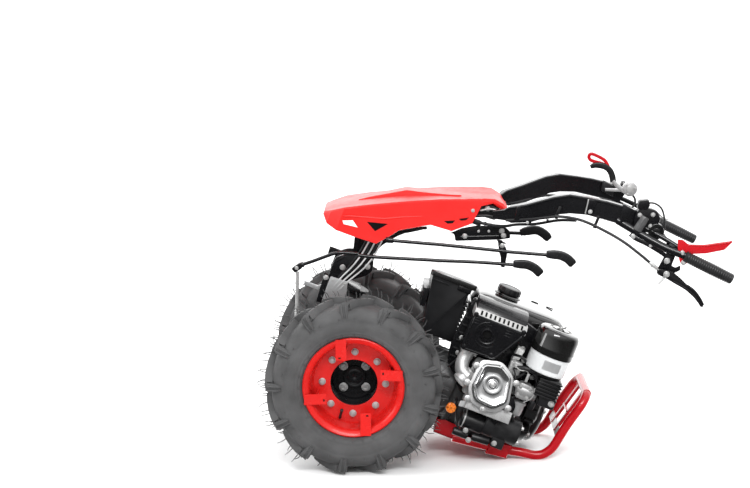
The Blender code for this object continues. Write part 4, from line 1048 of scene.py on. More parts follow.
def air_cleaner():
    """Air cleaner: glossy domed cap with a wing nut, pale bowl, blank plate and ribbed foot."""
    axis = Vector((0.494, -0.166, 0.0))
    low, high = machine_box("air_cleaner_cap")
    cap = Piece("air_cleaner_lid", "chassis", "gloss", "steel", "plastic",
                stands_for=("air_cleaner_cap",), slot="gloss_black", sharp=40.0)
    base = low.z
    top = high.z + 0.001
    turn = Matrix.Translation((axis.x, axis.y, 0.0))
    cap.lathe([(0, base), (0.06, base), (0.0625, base + 0.001), (0.0632, base + 0.004),
               (0.0625, base + 0.016), (0.0635, base + 0.018), (0.0635, base + 0.021),
               (0.0622, base + 0.024), (0.0618, base + 0.056), (0.0595, base + 0.066),
               (0.0545, base + 0.0725), (0.05, base + 0.0745), (0.033, base + 0.0765),
               (0.032, base + 0.0745), (0.027, base + 0.074), (0.025, base + 0.077),
               (0.012, top - 0.001), (0, top)], 0, turn, 72)
    cap.rod((axis.x, axis.y, top - 0.004), (axis.x, axis.y, top + 0.008), 0.0028, mat=1,
            bevel=0.0008)
    cap.rod((axis.x, axis.y, top - 0.001), (axis.x, axis.y, top + 0.004), 0.0055, 0.0048, 1, 20,
            0.001)
    for side in (-1, 1):
        cap.sweep([(axis.x + side * 0.004, axis.y, top + 0.002),
                   (axis.x + side * 0.009, axis.y - 0.001, top + 0.005),
                   (axis.x + side * 0.012, axis.y - 0.001, top + 0.009)],
                  [(a * 1.8, b * 0.7) for a, b in circle(0.0018, 10)], 1, scale=[1.0, 1.2, 1.0])
    cap.done()

    low, high = machine_box("air_cleaner_bowl")
    bowl = Piece("air_cleaner_cup", "chassis", "grey", "plate", "steel",
                 stands_for=("air_cleaner_bowl",), slot="grey_plastic", sharp=40.0)
    bowl.lathe([(0, low.z), (0.054, low.z), (0.0575, low.z + 0.003), (0.0585, low.z + 0.008),
                (0.059, high.z - 0.004), (0.06, high.z), (0, high.z)], 0, turn, 72)
    # blank plate wrapped round the bowl
    radius, half_span = 0.0598, math.radians(25)
    bm = bmesh.new()
    rows = []
    for k in range(13):
        angle = math.radians(-82) - half_span + 2 * half_span * k / 12
        rows.append([bm.verts.new((axis.x + r * math.cos(angle), axis.y + r * math.sin(angle), z))
                     for r, z in ((radius, 0.232), (radius, 0.258), (radius - 0.003, 0.258),
                                  (radius - 0.003, 0.232))])
    skin(bm, rows)
    bowl.take(bm, 1)
    bowl.done()

    low, high = machine_box("air_cleaner_foot")
    foot = Piece("air_cleaner_elbow", "chassis", "plastic", "steel", "dark",
                 stands_for=("air_cleaner_foot",), slot="black_plastic")
    foot.lathe([(0, high.z - 0.012), (0.04, high.z - 0.012), (0.054, high.z - 0.004),
                (0.056, high.z + 0.001), (0, high.z + 0.001)], 0, turn, 60)
    foot.block((low.x + 0.003, low.y + 0.006, 0.15), (
        high.x - 0.006, high.y - 0.006, high.z - 0.006), 0.01, segments=4)
    for k in range(6):
        z = high.z - 0.014 - 0.0095 * k
        foot.block((low.x + 0.001, low.y + 0.003, z - 0.0022),
                   (high.x - 0.003, high.y - 0.004, z + 0.0022), 0.0016)
    foot.block((low.x + 0.022, low.y + 0.012, low.z), (high.x - 0.002, high.y - 0.014, 0.158),
               0.005, segments=3)
    foot.bolt((high.x - 0.014, low.y + 0.012, 0.142), (0, -1, 0), 0.012, 1, head=0.006)
    foot.bolt((high.x - 0.014, low.y + 0.012, 0.142), (0, -1, 0), 0.008, 1, head=0.01)
    foot.rod((low.x + 0.012, low.y + 0.02, low.z + 0.006), (
        low.x + 0.012, low.y + 0.02, low.z - 0.02), 0.009, 0.008, 0, 18, 0.002)
    foot.done()


def carburettor():
    """Carburettor body with its float bowl, linkages, hoses and governor plate."""
    low = machine_box("carburettor")[0]
    carb = Piece("carburettor_body", "chassis", "cast", "steel", "black", "white", "rubber",
                 stands_for=("carburettor",), slot="cast_aluminium")
    mid_y = low.y + 0.026
    carb.rod((0.432, mid_y, 0.142), (0.5, mid_y, 0.142), 0.021, mat=0, bevel=0.003)
    carb.block((0.444, low.y + 0.008, 0.118), (0.478, low.y + 0.046, 0.166), 0.005, 0)
    carb.lathe([(0, 0.066), (0.01, 0.066), (0.017, 0.07), (0.019, 0.076), (0.019, 0.1),
                (0.0215, 0.102), (0.0215, 0.108), (0, 0.108)], 0,
               Matrix.Translation((0.462, mid_y, 0.0)), 36)
    carb.bolt((0.462, mid_y, 0.066), (0, 0, -1), 0.011, 1, head=0.006)
    for x, z in ((0.447, 0.156), (0.476, 0.128), (0.447, 0.128), (0.476, 0.158)):
        carb.bolt((x, low.y + 0.008, z), (0, -1, 0), 0.008, 1, head=0.005)
    carb.rod((0.455, low.y + 0.006, 0.172), (0.455, low.y + 0.006, 0.198), 0.0045, mat=1,
             bevel=0.001)
    carb.wire([(0.455, low.y + 0.006, 0.197), (0.444, low.y + 0.003, 0.203),
               (0.428, low.y + 0.002, 0.199), (0.414, low.y + 0.004, 0.203)], 0.0016, 1, steps=4,
              sides=8)
    # black governor plate, white choke knob and the breather hose
    carb.side_plate([(0.424, 0.06), (0.452, 0.058), (0.454, 0.096), (0.44, 0.122), (0.428, 0.118)],
                    low.y - 0.004, low.y - 0.001, 0.0008, 2)
    carb.side_plate([(0.398, 0.21), (0.42, 0.214), (0.426, 0.246), (0.404, 0.252)], -0.15, -0.118,
                    0.005, 3)
    hose = [(0.414, -0.17, 0.196), (0.424, -0.186, 0.204), (0.442, -0.194, 0.21),
            (0.462, -0.194, 0.208), (0.48, -0.186, 0.196), (0.49, -0.172, 0.178)]
    carb.wire(hose, 0.0058, 4, steps=6, sides=14)
    carb.wire([(0.436, -0.196, 0.126), (0.43, -0.204, 0.15), (0.42, -0.2, 0.18),
               (0.408, -0.18, 0.196)], 0.0022, 4, sides=8)
    carb.wire([(0.47, -0.198, 0.116), (0.486, -0.206, 0.14), (0.484, -0.204, 0.168)], 0.0014, 1,
              sides=8)
    for k in range(3):
        carb.rod((0.404 + 0.01 * k, -0.168, 0.21 - 0.008 * k),
                 (0.404 + 0.01 * k, -0.184, 0.21 - 0.008 * k), 0.0045, 0.004, 1, 14, 0.001)
    carb.block((0.396, -0.176, 0.176), (0.432, -0.15, 0.214), 0.004, 0)
    carb.done()


def starter():
    """Electric starter with its wide drive end, solenoid cans and cable posts."""
    low, high = machine_box("starter_motor")
    motor = Piece("starter_motor_body", "chassis", "iron", "steel", "plastic", "grey",
                  stands_for=("starter_motor",), slot="black_paint")
    turn = facing((1, 0, 0), (low.x, -0.164, 0.004))
    joint = 0.392 - low.x
    full = high.x - low.x
    motor.lathe([(0, 0), (0.02, 0), (0.026, 0.003), (0.0275, 0.006), (0.0275, joint), (0, joint)],
                2, turn, 48)
    motor.lathe([(0.0279, 0.01), (0.0279, 0.014), (0.027, 0.014), (0.027, 0.01)], 1, turn, 48,
                closed=True)
    front = facing((1, 0, 0), (low.x, -0.16, 0.016))
    motor.lathe([(0, joint), (0.034, joint), (0.0375, joint + 0.004), (0.038, joint + 0.012),
                 (0.038, full - 0.008), (0.035, full), (0, full)], 0, front, 48)
    for k in range(4):
        angle = math.radians(90 * k + 40)
        spot = front @ Vector((0.03 * math.cos(angle), 0.03 * math.sin(angle), full))
        motor.bolt(spot, (1, 0, 0), 0.009, 1)
    # solenoid and clamp, with their posts
    motor.rod((0.316, -0.186, -0.036), (0.36, -0.186, -0.036), 0.0115, mat=2, bevel=0.002)
    motor.rod((0.372, -0.186, -0.034), (0.424, -0.186, -0.03), 0.0115, mat=2, bevel=0.002)
    motor.block((0.43, -0.186, -0.042), (0.468, -0.14, -0.006), 0.004, 0)
    for x, z in ((0.348, -0.02), (0.366, -0.044), (0.438, -0.026)):
        motor.bolt((x, -0.198, z), (0, -1, 0), 0.01, 1, head=0.006)
        motor.rod((x, -0.196, z), (x, -0.21, z), 0.0022, mat=1, bevel=0.0005)
    motor.wire([(0.33, -0.19, -0.026), (0.312, -0.186, -0.006), (0.304, -0.16, 0.02),
                (0.3, -0.12, 0.04)], 0.0035, 2, sides=10)
    motor.done()


def battery():
    """Battery box with its overhanging lid, pressed ribs, vents and latch."""
    high = machine_box("battery_box")[1]
    half = high.y
    box = Piece("battery_case", "chassis", "plastic", "steel", "black", stands_for=("battery_box",),
                slot="black_paint")
    top = high.z
    outline = [(0.104, top), (0.108, 0.33), (0.134, 0.192), (0.146, 0.178), (0.231, 0.178),
               (0.227, 0.218), (0.221, 0.3), (0.223, 0.33), (0.231, top)]
    box.side_plate(rounded_outline(outline, 0.008, 3), -half + 0.002, half - 0.002, 0.004)
    for k in range(9):
        z = 0.206 + 0.012 * k
        box.block((0.219, -half + 0.004, z), (0.2325, half - 0.004, z + 0.0045), 0.0012)
    box.side_plate([(0.112, top - 0.018), (0.16, top - 0.018), (0.16, top - 0.0145),
                    (0.112, top - 0.0145)], -half - 0.0004, -half + 0.002, 0.0004)
    box.block((0.186, -half - 0.003, top - 0.02), (0.226, -half + 0.004, top - 0.006), 0.002, 2)
    box.bolt((0.196, -half - 0.003, top - 0.013), (0, -1, 0), 0.006, 2, head=0.003)
    box.side_plate([(0.096, 0.3), (0.112, 0.304), (0.118, 0.25), (0.104, 0.246)], -half + 0.004,
                   half - 0.004, 0.002, 2)
    box.done()

    low, high = machine_box("battery_lid")
    lid = Piece("battery_lid_cover", "chassis", "gloss", "plastic", stands_for=("battery_lid",),
                slot="black_plastic")
    centre = ((low.x + high.x) / 2 + 0.002, 0.0)
    wide, deep = high.x - low.x + 0.004, high.y - low.y
    loft(lid, [slab(centre, wide, deep, 0.01, z, inset) for z, inset in
               ((low.z - 0.006, 0.001), (low.z - 0.006, 0.0), (high.z - 0.004, 0.0),
                (high.z - 0.001, 0.0015), (high.z, 0.004), (high.z, 0.012),
                (high.z + 0.001, 0.014), (high.z + 0.001, 0.03))], 0)
    lid.done()


# ---------------------------------------------------------------- gearbox and clutch
def gearbox():
    """Gearbox casting with ribs, side covers, clutch bell, axle tubes and the tool flange."""
    low, high = machine_box("gearbox")
    case = Piece("gearbox_casting", "chassis", "iron", "steel", "black", "rubber",
                 stands_for=("gearbox",), slot="cast_iron")
    half = high.y
    outline = [(low.x, -0.058), (low.x + 0.044, low.z), (0.068, low.z), (high.x, -0.055),
               (high.x, high.z - 0.012), (0.06, high.z - 0.001), (-0.15, high.z - 0.001),
               (low.x, high.z - 0.03)]
    case.side_plate(rounded_outline(outline, 0.014, 3), -half + 0.006, half - 0.006, 0.005)
    for x in (low.x + 0.03, -0.07, -0.012, 0.048, high.x - 0.016):
        case.block((x - 0.004, -half, low.z + 0.016), (x + 0.004, half, high.z - 0.012), 0.002)
    for side in (-1, 1):
        turn = facing((0, side, 0), (0, 0, 0))
        case.lathe([(0, half - 0.01), (0.074, half - 0.01), (0.074, half - 0.002),
                    (0.07, half + 0.001), (0.05, half + 0.001), (0.046, half + 0.004),
                    (0, half + 0.004)], 0, turn, 48)
        for k in range(6):
            a = math.radians(60 * k + 30)
            case.bolt((0.062 * math.cos(a), side * (half + 0.001), 0.062 * math.sin(a)),
                      (0, side, 0), 0.012, 1)
        for x in (-0.12, 0.08):
            case.bolt((x, side * (half - 0.006), 0.09), (0, side, 0), 0.013, 1)
    case.rod((0.02, 0.03, high.z - 0.004), (0.02, 0.03, high.z + 0.014), 0.016, 0.014, 2, 24, 0.003)
    case.rod((0.07, -0.02, high.z - 0.004), (0.07, -0.02, high.z + 0.04), 0.024, 0.02, 0, 32, 0.004)
    case.block((-0.14, -0.06, high.z - 0.004), (-0.02, 0.06, high.z + 0.006), 0.003, 0)
    # selector lever boss that the lower rod's link works
    case.rod((-0.205, -0.086, 0.078), (-0.15, -0.086, 0.078), 0.01, mat=0, bevel=0.002)
    case.block((-0.222, -0.14, 0.07), (-0.198, -0.078, 0.086), 0.003, 2)
    case.done()

    for side, suffix in BOTH_SIDES:
        low, high = machine_box("axle_tube_" + suffix)
        near = min(abs(low.y), abs(high.y))
        far = max(abs(low.y), abs(high.y))
        axle = Piece("axle_housing_" + suffix, "chassis", "iron", "steel",
                     stands_for=("axle_tube_" + suffix,), slot="cast_iron")
        turn = facing((0, side, 0), (0, 0, 0))
        axle.lathe([(0.02, near), (0.052, near), (0.052, near + 0.006), (0.046, near + 0.012),
                    (0.04, far - 0.008), (0.038, far), (0.0195, far), (0.0195, near)], 0, turn, 48,
                   closed=True)
        for k in range(6):
            spin = turn @ Matrix.Rotation(math.radians(60 * k), 4, "Z")
            axle.block((0.036, -0.003, near), (0.0515, 0.003, far - 0.014), 0.0015, 0, spin)
        axle.done()

    low, high = machine_box("clutch_housing")
    # the cast aluminium bell is drawn in the dark casting, a painted shade of the shaded lower engine
    bell = Piece("clutch_bell", "chassis", "dull", "steel", stands_for=("clutch_housing",),
                 slot="cast_aluminium")
    turn = facing((1, 0, 0), (0, 0, (low.z + high.z) / 2))
    bell.lathe([(0, low.x), (0.074, low.x), (0.08, low.x + 0.004), (0.08, low.x + 0.012),
                (0.075, low.x + 0.016), (0.078, 0.19), (0.088, high.x - 0.03),
                (0.0925, high.x - 0.012), (0.0925, high.x), (0, high.x)], 0, turn, 72)
    for k in range(12):
        spin = turn @ Matrix.Rotation(math.radians(30 * k + 10), 4, "Z")
        bell.block((0.07, -0.0035, low.x + 0.01), (0.0905, 0.0035, high.x - 0.004), 0.0015, 0, spin)
    for k in range(6):
        a = math.radians(60 * k + 25)
        bell.bolt((high.x - 0.012, 0.084 * math.cos(a), (low.z + high.z) / 2 + 0.084 * math.sin(a)),
                  (-1, 0, 0), 0.011, 1)
    bell.done()

    low, high = machine_box("pto_flange")
    flange = Piece("tool_flange_plate", "chassis", "cast", "steel", "dark",
                   stands_for=("pto_flange",), slot="cast_aluminium")
    turn = facing((-1, 0, 0), (high.x, 0, 0))
    thick = high.x - low.x
    size = high.y
    flange.prism(rounded(2 * size, 2 * size, 0.016, 4), thick, 0.0015, 0, turn)
    flange.lathe([(0.026, thick - 0.0005), (0.04, thick - 0.0005), (0.04, thick), (0.026, thick)],
                 0, turn, 48, closed=True)
    # dark disc round the shaft end: painted shade in the bore
    flange.lathe([(0, thick - 0.004), (0.0262, thick - 0.004), (0.0262, thick + 0.0002),
                  (0, thick + 0.0002)], 2, turn, 48)
    flange.lathe([(0, thick - 0.002), (0.011, thick - 0.002), (0.011, thick + 0.0016),
                  (0.009, thick + 0.002), (0, thick + 0.002)], 1, turn, 24)
    for sx in (-1, 1):
        for sy in (-1, 1):
            spot = turn @ Vector((sx * size * 0.74, sy * size * 0.74, thick))
            flange.rod(spot, spot + Vector((-0.006, 0, 0)), 0.0055, 0.005, 1, 18, 0.001)
    flange.done()


# ---------------------------------------------------------------- column and bracket
def column():
    """Turret post, swivel bracket with strut and blank tag plate, and the handlebar beam."""
    low, high = machine_box("turret_post")
    pivot = MACHINE.inverted() @ Vector(JOINTS["handlebar_swivel"]["pos_m"])
    post = Piece("turret_post_casting", "chassis", "iron", "steel", stands_for=("turret_post",),
                 slot="cast_iron")
    turn = Matrix.Translation((pivot.x, 0, 0))
    post.lathe([(0, low.z), (0.05, low.z), (0.052, low.z + 0.003), (0.052, low.z + 0.012),
                (0.044, low.z + 0.018), (0.04, high.z - 0.016), (0.048, high.z - 0.01),
                (0.048, high.z), (0, high.z)], 0, turn, 60)
    for k in range(6):
        a = math.radians(60 * k + 10)
        post.bolt((pivot.x + 0.0455 * math.cos(a), 0.0455 * math.sin(a), low.z + 0.012), (0, 0, 1),
                  0.009, 1, washer=False)
    post.done()

    low, high = machine_box("swivel_bracket")
    bracket = Piece("swivel_bracket_fork", "swivel", "black", "steel", "plate", "grey",
                    stands_for=("swivel_bracket",), slot="black_paint")
    bracket.lathe([(0, low.z), (0.046, low.z), (0.048, low.z + 0.002), (0.048, low.z + 0.01),
                   (0.0455, low.z + 0.013), (0, low.z + 0.013)], 0, turn, 60)
    bracket.block((-0.1655, -0.0445, low.z + 0.008), (-0.07, 0.0445, low.z + 0.018), 0.003)
    cheek = [(-0.167, low.z + 0.006), (-0.1735, 0.236), (-0.1735, 0.284), (-0.146, 0.3055),
             (-0.095, 0.3215), (-0.066, 0.3155), (-0.0585, 0.284), (-0.072, 0.264), (-0.112, 0.233),
             (-0.128, low.z + 0.006)]
    inner, outer = 0.0395, high.y
    for side in (-1, 1):
        bracket.side_plate(rounded_outline(cheek, 0.01, 3), side * inner, side * outer, 0.0012)
        for x, z in ((-0.143, 0.264), (-0.077, 0.292)):
            washer_bolt(bracket, x, side * outer, z, side, 0.011)
        bracket.side_plate(rounded_outline([(-0.172, 0.268), (-0.16, 0.29), (-0.146, 0.299),
                                            (-0.15, 0.291), (-0.162, 0.272)], 0.003, 2),
                           side * (outer + 0.001), side * (outer - 0.001), 0.0006)
    bracket.rod((-0.1195, -outer - 0.002, 0.272), (-0.1195, outer + 0.002, 0.272), 0.007, mat=0,
                bevel=0.002)
    # cables that come down from the console over the near cheek; every other one is light grey, a painted
    # highlight for the shine on the strands
    for k in range(6):
        y = -outer - 0.0065 - 0.0045 * (k % 2)
        x = 0.0075 * k
        bracket.wire([(-0.156 + x * 0.6, y - 0.004, 0.196), (-0.143 + x * 0.8, y - 0.004, 0.236),
                      (-0.124 + x, y, 0.284), (-0.113 + x * 1.1, y, 0.33),
                      (-0.107 + x * 1.1, y + 0.001, 0.38)], 0.0023, k % 2 * 3, sides=10)
    # strut behind and blank tag plate hung on the near cheek
    bracket.side_plate([(-0.1865, 0.232), (-0.168, 0.226), (-0.163, 0.143), (-0.179, 0.141)], -0.05,
                       -0.044, 0.001)
    washer_bolt(bracket, -0.177, -0.05, 0.218, -1, 0.01)
    bracket.side_plate(rounded_outline([(-0.1665, 0.23), (-0.1145, 0.233), (-0.1025, 0.186),
                                        (-0.164, 0.154)], 0.004, 2), -0.0672, -0.0654, 0.0005, 2)
    for x, z in ((-0.157, 0.222), (-0.122, 0.224)):
        bracket.rod((x, -0.052, z), (x, -0.0685, z), 0.0032, mat=1, bevel=0.0008)
    bracket.side_plate([(-0.23, 0.172), (-0.186, 0.172), (-0.172, 0.186), (-0.172, 0.198),
                        (-0.19, 0.184), (-0.23, 0.183)], -0.032, -0.028, 0.0008, 2)
    bracket.side_plate(rounded_outline([(-0.197, 0.291), (-0.195, 0.267), (-0.156, 0.284),
                                        (-0.156, 0.292)], 0.003, 2), 0.046, 0.05, 0.001)
    bracket.done()

    beam = Piece("column_beam_box", "handlebar", "black", "steel", "cable",
                 stands_for=("column_beam",), slot="black_paint")
    spine = [(-0.1265, 0.296), (-0.139, 0.3445), (-0.15, 0.386), (-0.118, 0.42), (-0.058, 0.446),
             (0.01, 0.4385), (-0.028, 0.4035), (-0.059, 0.3625), (-0.0745, 0.3255),
             (-0.0885, 0.2665), (-0.11, 0.256)]
    half = min(machine_box("column_beam")[1].y, 0.033)
    beam.side_plate(rounded_outline(spine, 0.006, 2), -half, half, 0.003)
    for side in (-1, 1):
        beam.wire(at_y(side * half, (-0.118, 0.31), (-0.128, 0.352), (-0.128, 0.388)), 0.0024,
                  sides=8)
        beam.wire(at_y(side * half, (-0.086, 0.31), (-0.064, 0.372), (-0.026, 0.424)), 0.0024,
                  sides=8)
        washer_bolt(beam, -0.108, side * half, 0.372, side, 0.013)
    beam.done()


# ---------------------------------------------------------------- console
INSET = 0.0012   # thickness of the plates that stand for the shroud's vents and slots


def console():
    """Angular red console shroud: creased side panels, top hump, vents and the frame in its end."""
    half = machine_box("console_cover")[1].y
    shell = Piece("console_shroud", "handlebar", "console", "dark", "steel", "white",
                  stands_for=("console_cover",), slot="console_red", sharp=24.0)
    # stations along the machine: (x, shoulder z, lower edge z, roof z, shoulder half, roof half)
    stations = [(-0.252, 0.4025, 0.3945, 0.403, 0.084, 0.06),
                (-0.234, 0.416, 0.377, 0.42, 0.11, 0.056),
                (-0.202, 0.44, 0.371, 0.44, half - 0.004, 0.054),
                (-0.146, 0.471, 0.373, 0.474, half, 0.054),
                (-0.082, 0.5035, 0.3765, 0.509, half, 0.056),
                (-0.05, 0.519, 0.416, 0.525, half, 0.056),
                (-0.035, 0.5265, 0.437, 0.531, half, 0.056),
                (0.042, 0.562, 0.484, 0.56, half, 0.054),
                (0.104, 0.587, 0.489, 0.58, half, 0.052),
                (0.15, 0.605, 0.53, 0.596, half - 0.004, 0.05),
                (0.156, 0.608, 0.585, 0.598, half - 0.005, 0.05),
                (0.185, 0.617, 0.604, 0.608, half - 0.01, 0.048),
                (0.214, 0.612, 0.595, 0.609, half - 0.018, 0.046),
                (0.232, 0.598, 0.58, 0.603, half - 0.024, 0.044)]
    rings = []
    for x, shoulder, lower, roof, wide, crown in stations:
        drop = min(0.028, (shoulder - lower) * 0.42)
        brow = wide - 0.0035
        waist = wide - 0.0005
        ring = [(x, -waist + 0.004, lower), (x, -waist, lower + 0.002),
                (x, -waist, shoulder - drop), (x, -brow, shoulder - 0.004),
                (x, -brow + 0.005, shoulder + 0.0005), (x, -crown - 0.01, roof - 0.0015),
                (x, -crown, roof), (x, crown, roof), (x, crown + 0.01, roof - 0.0015),
                (x, brow - 0.005, shoulder + 0.0005), (x, brow, shoulder - 0.004),
                (x, waist, shoulder - drop), (x, waist, lower + 0.002), (x, waist - 0.004, lower)]
        rings.append(ring)
    loft(shell, rings, 0)
    # hump of flat facets over the middle
    hump = [(-0.17, 0.44, 0.462, 0.044, 0.02), (-0.14, 0.455, 0.484, 0.048, 0.026),
            (-0.052, 0.505, 0.54, 0.056, 0.036), (0.0, 0.53, 0.553, 0.056, 0.036),
            (0.066, 0.556, 0.572, 0.048, 0.034), (0.1, 0.572, 0.583, 0.036, 0.028)]
    loft(shell, [[(x, -wide, base), (x, -crown, top), (x, crown, top), (x, wide, base),
                  (x, wide, base - 0.02), (x, -wide, base - 0.02)]
                 for x, base, top, wide, crown in hump], 0)
    # creases, vents and slots on both sides; the dark plates paint the shade inside the vents and slots
    for side in (-1, 1):
        y = side * (half + 0.0002)
        for vent, mat in (([(-0.129, 0.427), (-0.072, 0.443), (-0.098, 0.4105)], 1),
                          ([(-0.195, 0.405), (-0.168, 0.4165), (-0.148, 0.4025),
                            (-0.188, 0.397)], 3),
                          ([(0.073, 0.509), (0.101, 0.522), (0.098, 0.512), (0.085, 0.506)], 1),
                          ([(0.11, 0.53), (0.135, 0.544), (0.13, 0.535), (0.117, 0.528)], 1)):
            shell.side_plate(vent, y - side * INSET * 0.6, y + side * INSET * 0.4, 0.0002, mat)
        crease = [(-0.199, 0.4165), (-0.181, 0.424), (-0.137, 0.4375), (-0.086, 0.453),
                  (-0.04, 0.476), (0.01, 0.4985)]
        shell.sweep([(x, side * (half - 0.0008), z) for x, z in crease],
                    [(-0.0026, -0.0022), (0.0026, -0.0022), (0.0026, 0.001), (0.0, 0.0024),
                     (-0.0026, 0.001)], 0, scale=[0.5, 1.0, 1.0, 1.0, 1.0, 0.4], roll=(0, side, 0))
        shell.bolt((0.138, side * (half - 0.0036), 0.566), (0, side, 0), 0.007, 2, head=0.003)
    shell.done()
    # dark frame seen in the shroud's open end
    frame_end = Piece("console_inner_frame", "handlebar", "plastic", "steel", "cable")
    frame_end.side_plate([(0.12, 0.545), (0.128, 0.585), (0.156, 0.597), (0.206, 0.598),
                          (0.224, 0.578), (0.206, 0.56), (0.16, 0.556)], -half + 0.022,
                         half - 0.022, 0.003)
    for side in (-1, 1):
        frame_end.bolt((0.176, side * (half - 0.022), 0.584), (0, side, 0), 0.01, 1, head=0.004)
        frame_end.wire([(0.15, side * (
            half - 0.016), 0.552), (0.176, side * (half - 0.012), 0.564),
            (0.206, side * (half - 0.01), 0.572), (0.236, side * (half - 0.002), 0.584)], 0.0045, 2)
        frame_end.wire([(0.158, side * (half - 0.018), 0.572),
                        (0.186, side * (half - 0.014), 0.588), (0.216, side * (half - 0.01), 0.59)],
                       0.003, 1, sides=10)
    frame_end.done()


def under_console():
    """Wiring and its clips under the console and the arms."""
    loom = Piece("wiring_loom", "handlebar", "cable", "steel", "plastic", "orange")
    strands = [([(0.159, -0.106, 0.538), (0.186, -0.112, 0.541), (
        0.219, -0.116, 0.549), (0.244, -0.12, 0.559), (0.267, -0.128, 0.574), (0.315, -0.15, 0.599),
        (0.365, -0.176, 0.634), (0.41, -0.196, 0.655)], 0.0042),
        ([(0.12, -0.06, 0.505), (0.16, -0.092, 0.532), (0.205, -0.112, 0.546)], 0.0036),
        ([(-0.11, -0.05, 0.396), (-0.07, -0.047, 0.408), (-0.02, -0.043, 0.432),
          (0.04, -0.06, 0.462)], 0.0045), ([(-0.1, -0.04, 0.384), (-0.062, -0.038, 0.396),
                                            (-0.012, -0.036, 0.424), (0.03, -0.04, 0.452)], 0.0036),
        ([(-0.142, 0.052, 0.38), (-0.09, 0.054, 0.396), (-0.02, 0.05, 0.436), (0.05, 0.052, 0.47)],
         0.0045), ([(0.225, 0.128, 0.575), (0.281, 0.152, 0.604), (0.35, 0.182, 0.646),
                    (0.41, 0.2, 0.664), (0.44, 0.208, 0.676)], 0.0038),]
    for points, radius in strands:
        loom.wire(points, radius, steps=6)
    for x, y, z in ((0.3, -0.143, 0.592), (0.186, -0.112, 0.541), (0.34, -0.164, 0.619)):
        loom.sweep([(x - 0.003, y, z), (x + 0.003, y, z + 0.002)], circle(0.0058, 14), 2)
    loom.block((0.15, -0.11, 0.528), (0.176, -0.092, 0.543), 0.003, 2)
    loom.done()


# ---------------------------------------------------------------- arms, tubes and grips
def arms():
    """Pressed channel arms, their joint plates, the round grip tubes and ribbed grips."""
    for side, suffix in BOTH_SIDES:
        arm = Piece("arm_%s_pressing" % suffix, "handlebar", "black", "steel", "plastic",
                    stands_for=("arm_" + suffix,), slot="black_plastic", sharp=30.0)
        # centre line, then half height and half width of the pressing at each station
        run = [((0.196, 0.136, 0.579), 0.011, 0.012), ((0.226, 0.146, 0.5925), 0.015, 0.014),
               ((0.24, 0.152, 0.6), 0.0225, 0.0165),
               ((0.283, 0.176, 0.627), 0.0255, 0.0185), ((0.343, 0.198, 0.677), 0.025, 0.019),
               ((0.376, 0.208, 0.696), 0.026, 0.019), ((0.423, 0.222, 0.709), 0.0235, 0.0185),
               ((0.47, 0.233, 0.7165), 0.025, 0.018), ((0.512, 0.243, 0.7215), 0.025, 0.0175),
               ((0.545, 0.251, 0.724), 0.024, 0.0165), ((0.575, 0.26, 0.718), 0.021, 0.015)]
        points = [Vector((x, side * y, z)) for (x, y, z), _, _ in run]
        section = [(-1.0, -1.0), (-0.8, -1.12), (0.8, -1.12), (1.0, -1.0), (1.0, -0.84),
                   (0.86, -0.78), (0.86, 0.78), (1.0, 0.84), (1.0, 1.0), (0.8, 1.12), (-0.8, 1.12),
                   (-1.0, 1.0)]
        bm = bmesh.new()
        rings = []
        for k, (point, (_, tall, wide)) in enumerate(zip(points, run)):
            ahead, behind = points[min(k + 1, len(points) - 1)], points[max(k - 1, 0)]
            along = (ahead - behind).normalized()
            outward = Vector((0, side, 0)) - along * along.y * side
            outward.normalize()
            up = along.cross(outward)
            up = up if up.z > 0 else -up
            rings.append([bm.verts.new(point + outward * a * wide + up * b * tall * 0.92)
                          for a, b in section])
        skin(bm, rings)
        arm.take(bm, 0)
        # plates over the joints between the pressings, the upper one with a bright band and a bolt
        for x, y, z, banded in ((0.43, 0.2245, 0.7105, True), (0.262, 0.164, 0.613, False)):
            place = Matrix.Translation((x, side * (y + 0.018), z))
            place = place @ Matrix.Rotation(-side * math.radians(14), 4, "Z")
            place = place @ Matrix.Rotation(math.radians(-10), 4, "Y")
            arm.block((-0.016, -0.0015, -0.02), (0.016, 0.0015, 0.02), 0.001, 0, place)
            if banded:
                arm.block((-0.0175, -0.0022, -0.0205), (-0.015, 0.0022, 0.0205), 0.0008, 1, place)
                arm.bolt(place @ Vector((-0.004, side * 0.0015, -0.013)), (0, side, 0), 0.008, 1,
                         head=0.004)
        arm.done()

        tube = Piece("arm_%s_tube" % suffix, "handlebar", "black", "steel",
                     stands_for=("arm_tube_" + suffix,), slot="black_paint")
        tube.wire([(0.506, side * 0.256, 0.704), (0.548, side * 0.272, 0.698),
                   (0.6, side * 0.29, 0.6905), (0.648, side * 0.303, 0.686),
                   (0.69, side * 0.311, 0.6865), (0.722, side * 0.3155, 0.686)], 0.0112, sides=24)
        tube.wire([(0.556, side * 0.264, 0.714), (0.6, side * 0.28, 0.712),
                   (0.645, side * 0.296, 0.707), (0.69, side * 0.308, 0.699)], 0.007, sides=16)
        tube.done()

        low, high = machine_box("grip_" + suffix)
        grip = Piece("grip_%s_sleeve" % suffix, "handlebar", "rubber",
                     stands_for=("grip_" + suffix,), slot="grip_rubber", sharp=32.0)
        start = Vector((low.x, side * 0.316, 0.686))
        end = Vector((high.x, side * 0.316, 0.6735))
        along = (end - start).normalized()
        turn = facing(along, start)
        length = (end - start).length
        profile = [(0.0, 0.0), (0.013, 0.0), (0.0165, 0.002), (0.0165, 0.005), (0.014, 0.0065)]
        ribs = 20
        for k in range(ribs):
            at = 0.01 + (length - 0.02) * k / (ribs - 1)
            swell = 0.0142 + 0.0012 * math.sin(math.pi * k / (ribs - 1))
            profile += [(swell, at - 0.0022), (swell + 0.001, at), (swell, at + 0.0022)]
        profile += [(0.015, length - 0.004), (0.013, length - 0.0008), (0.0, length)]
        grip.lathe(profile, 0, turn, 36)
        grip.done()


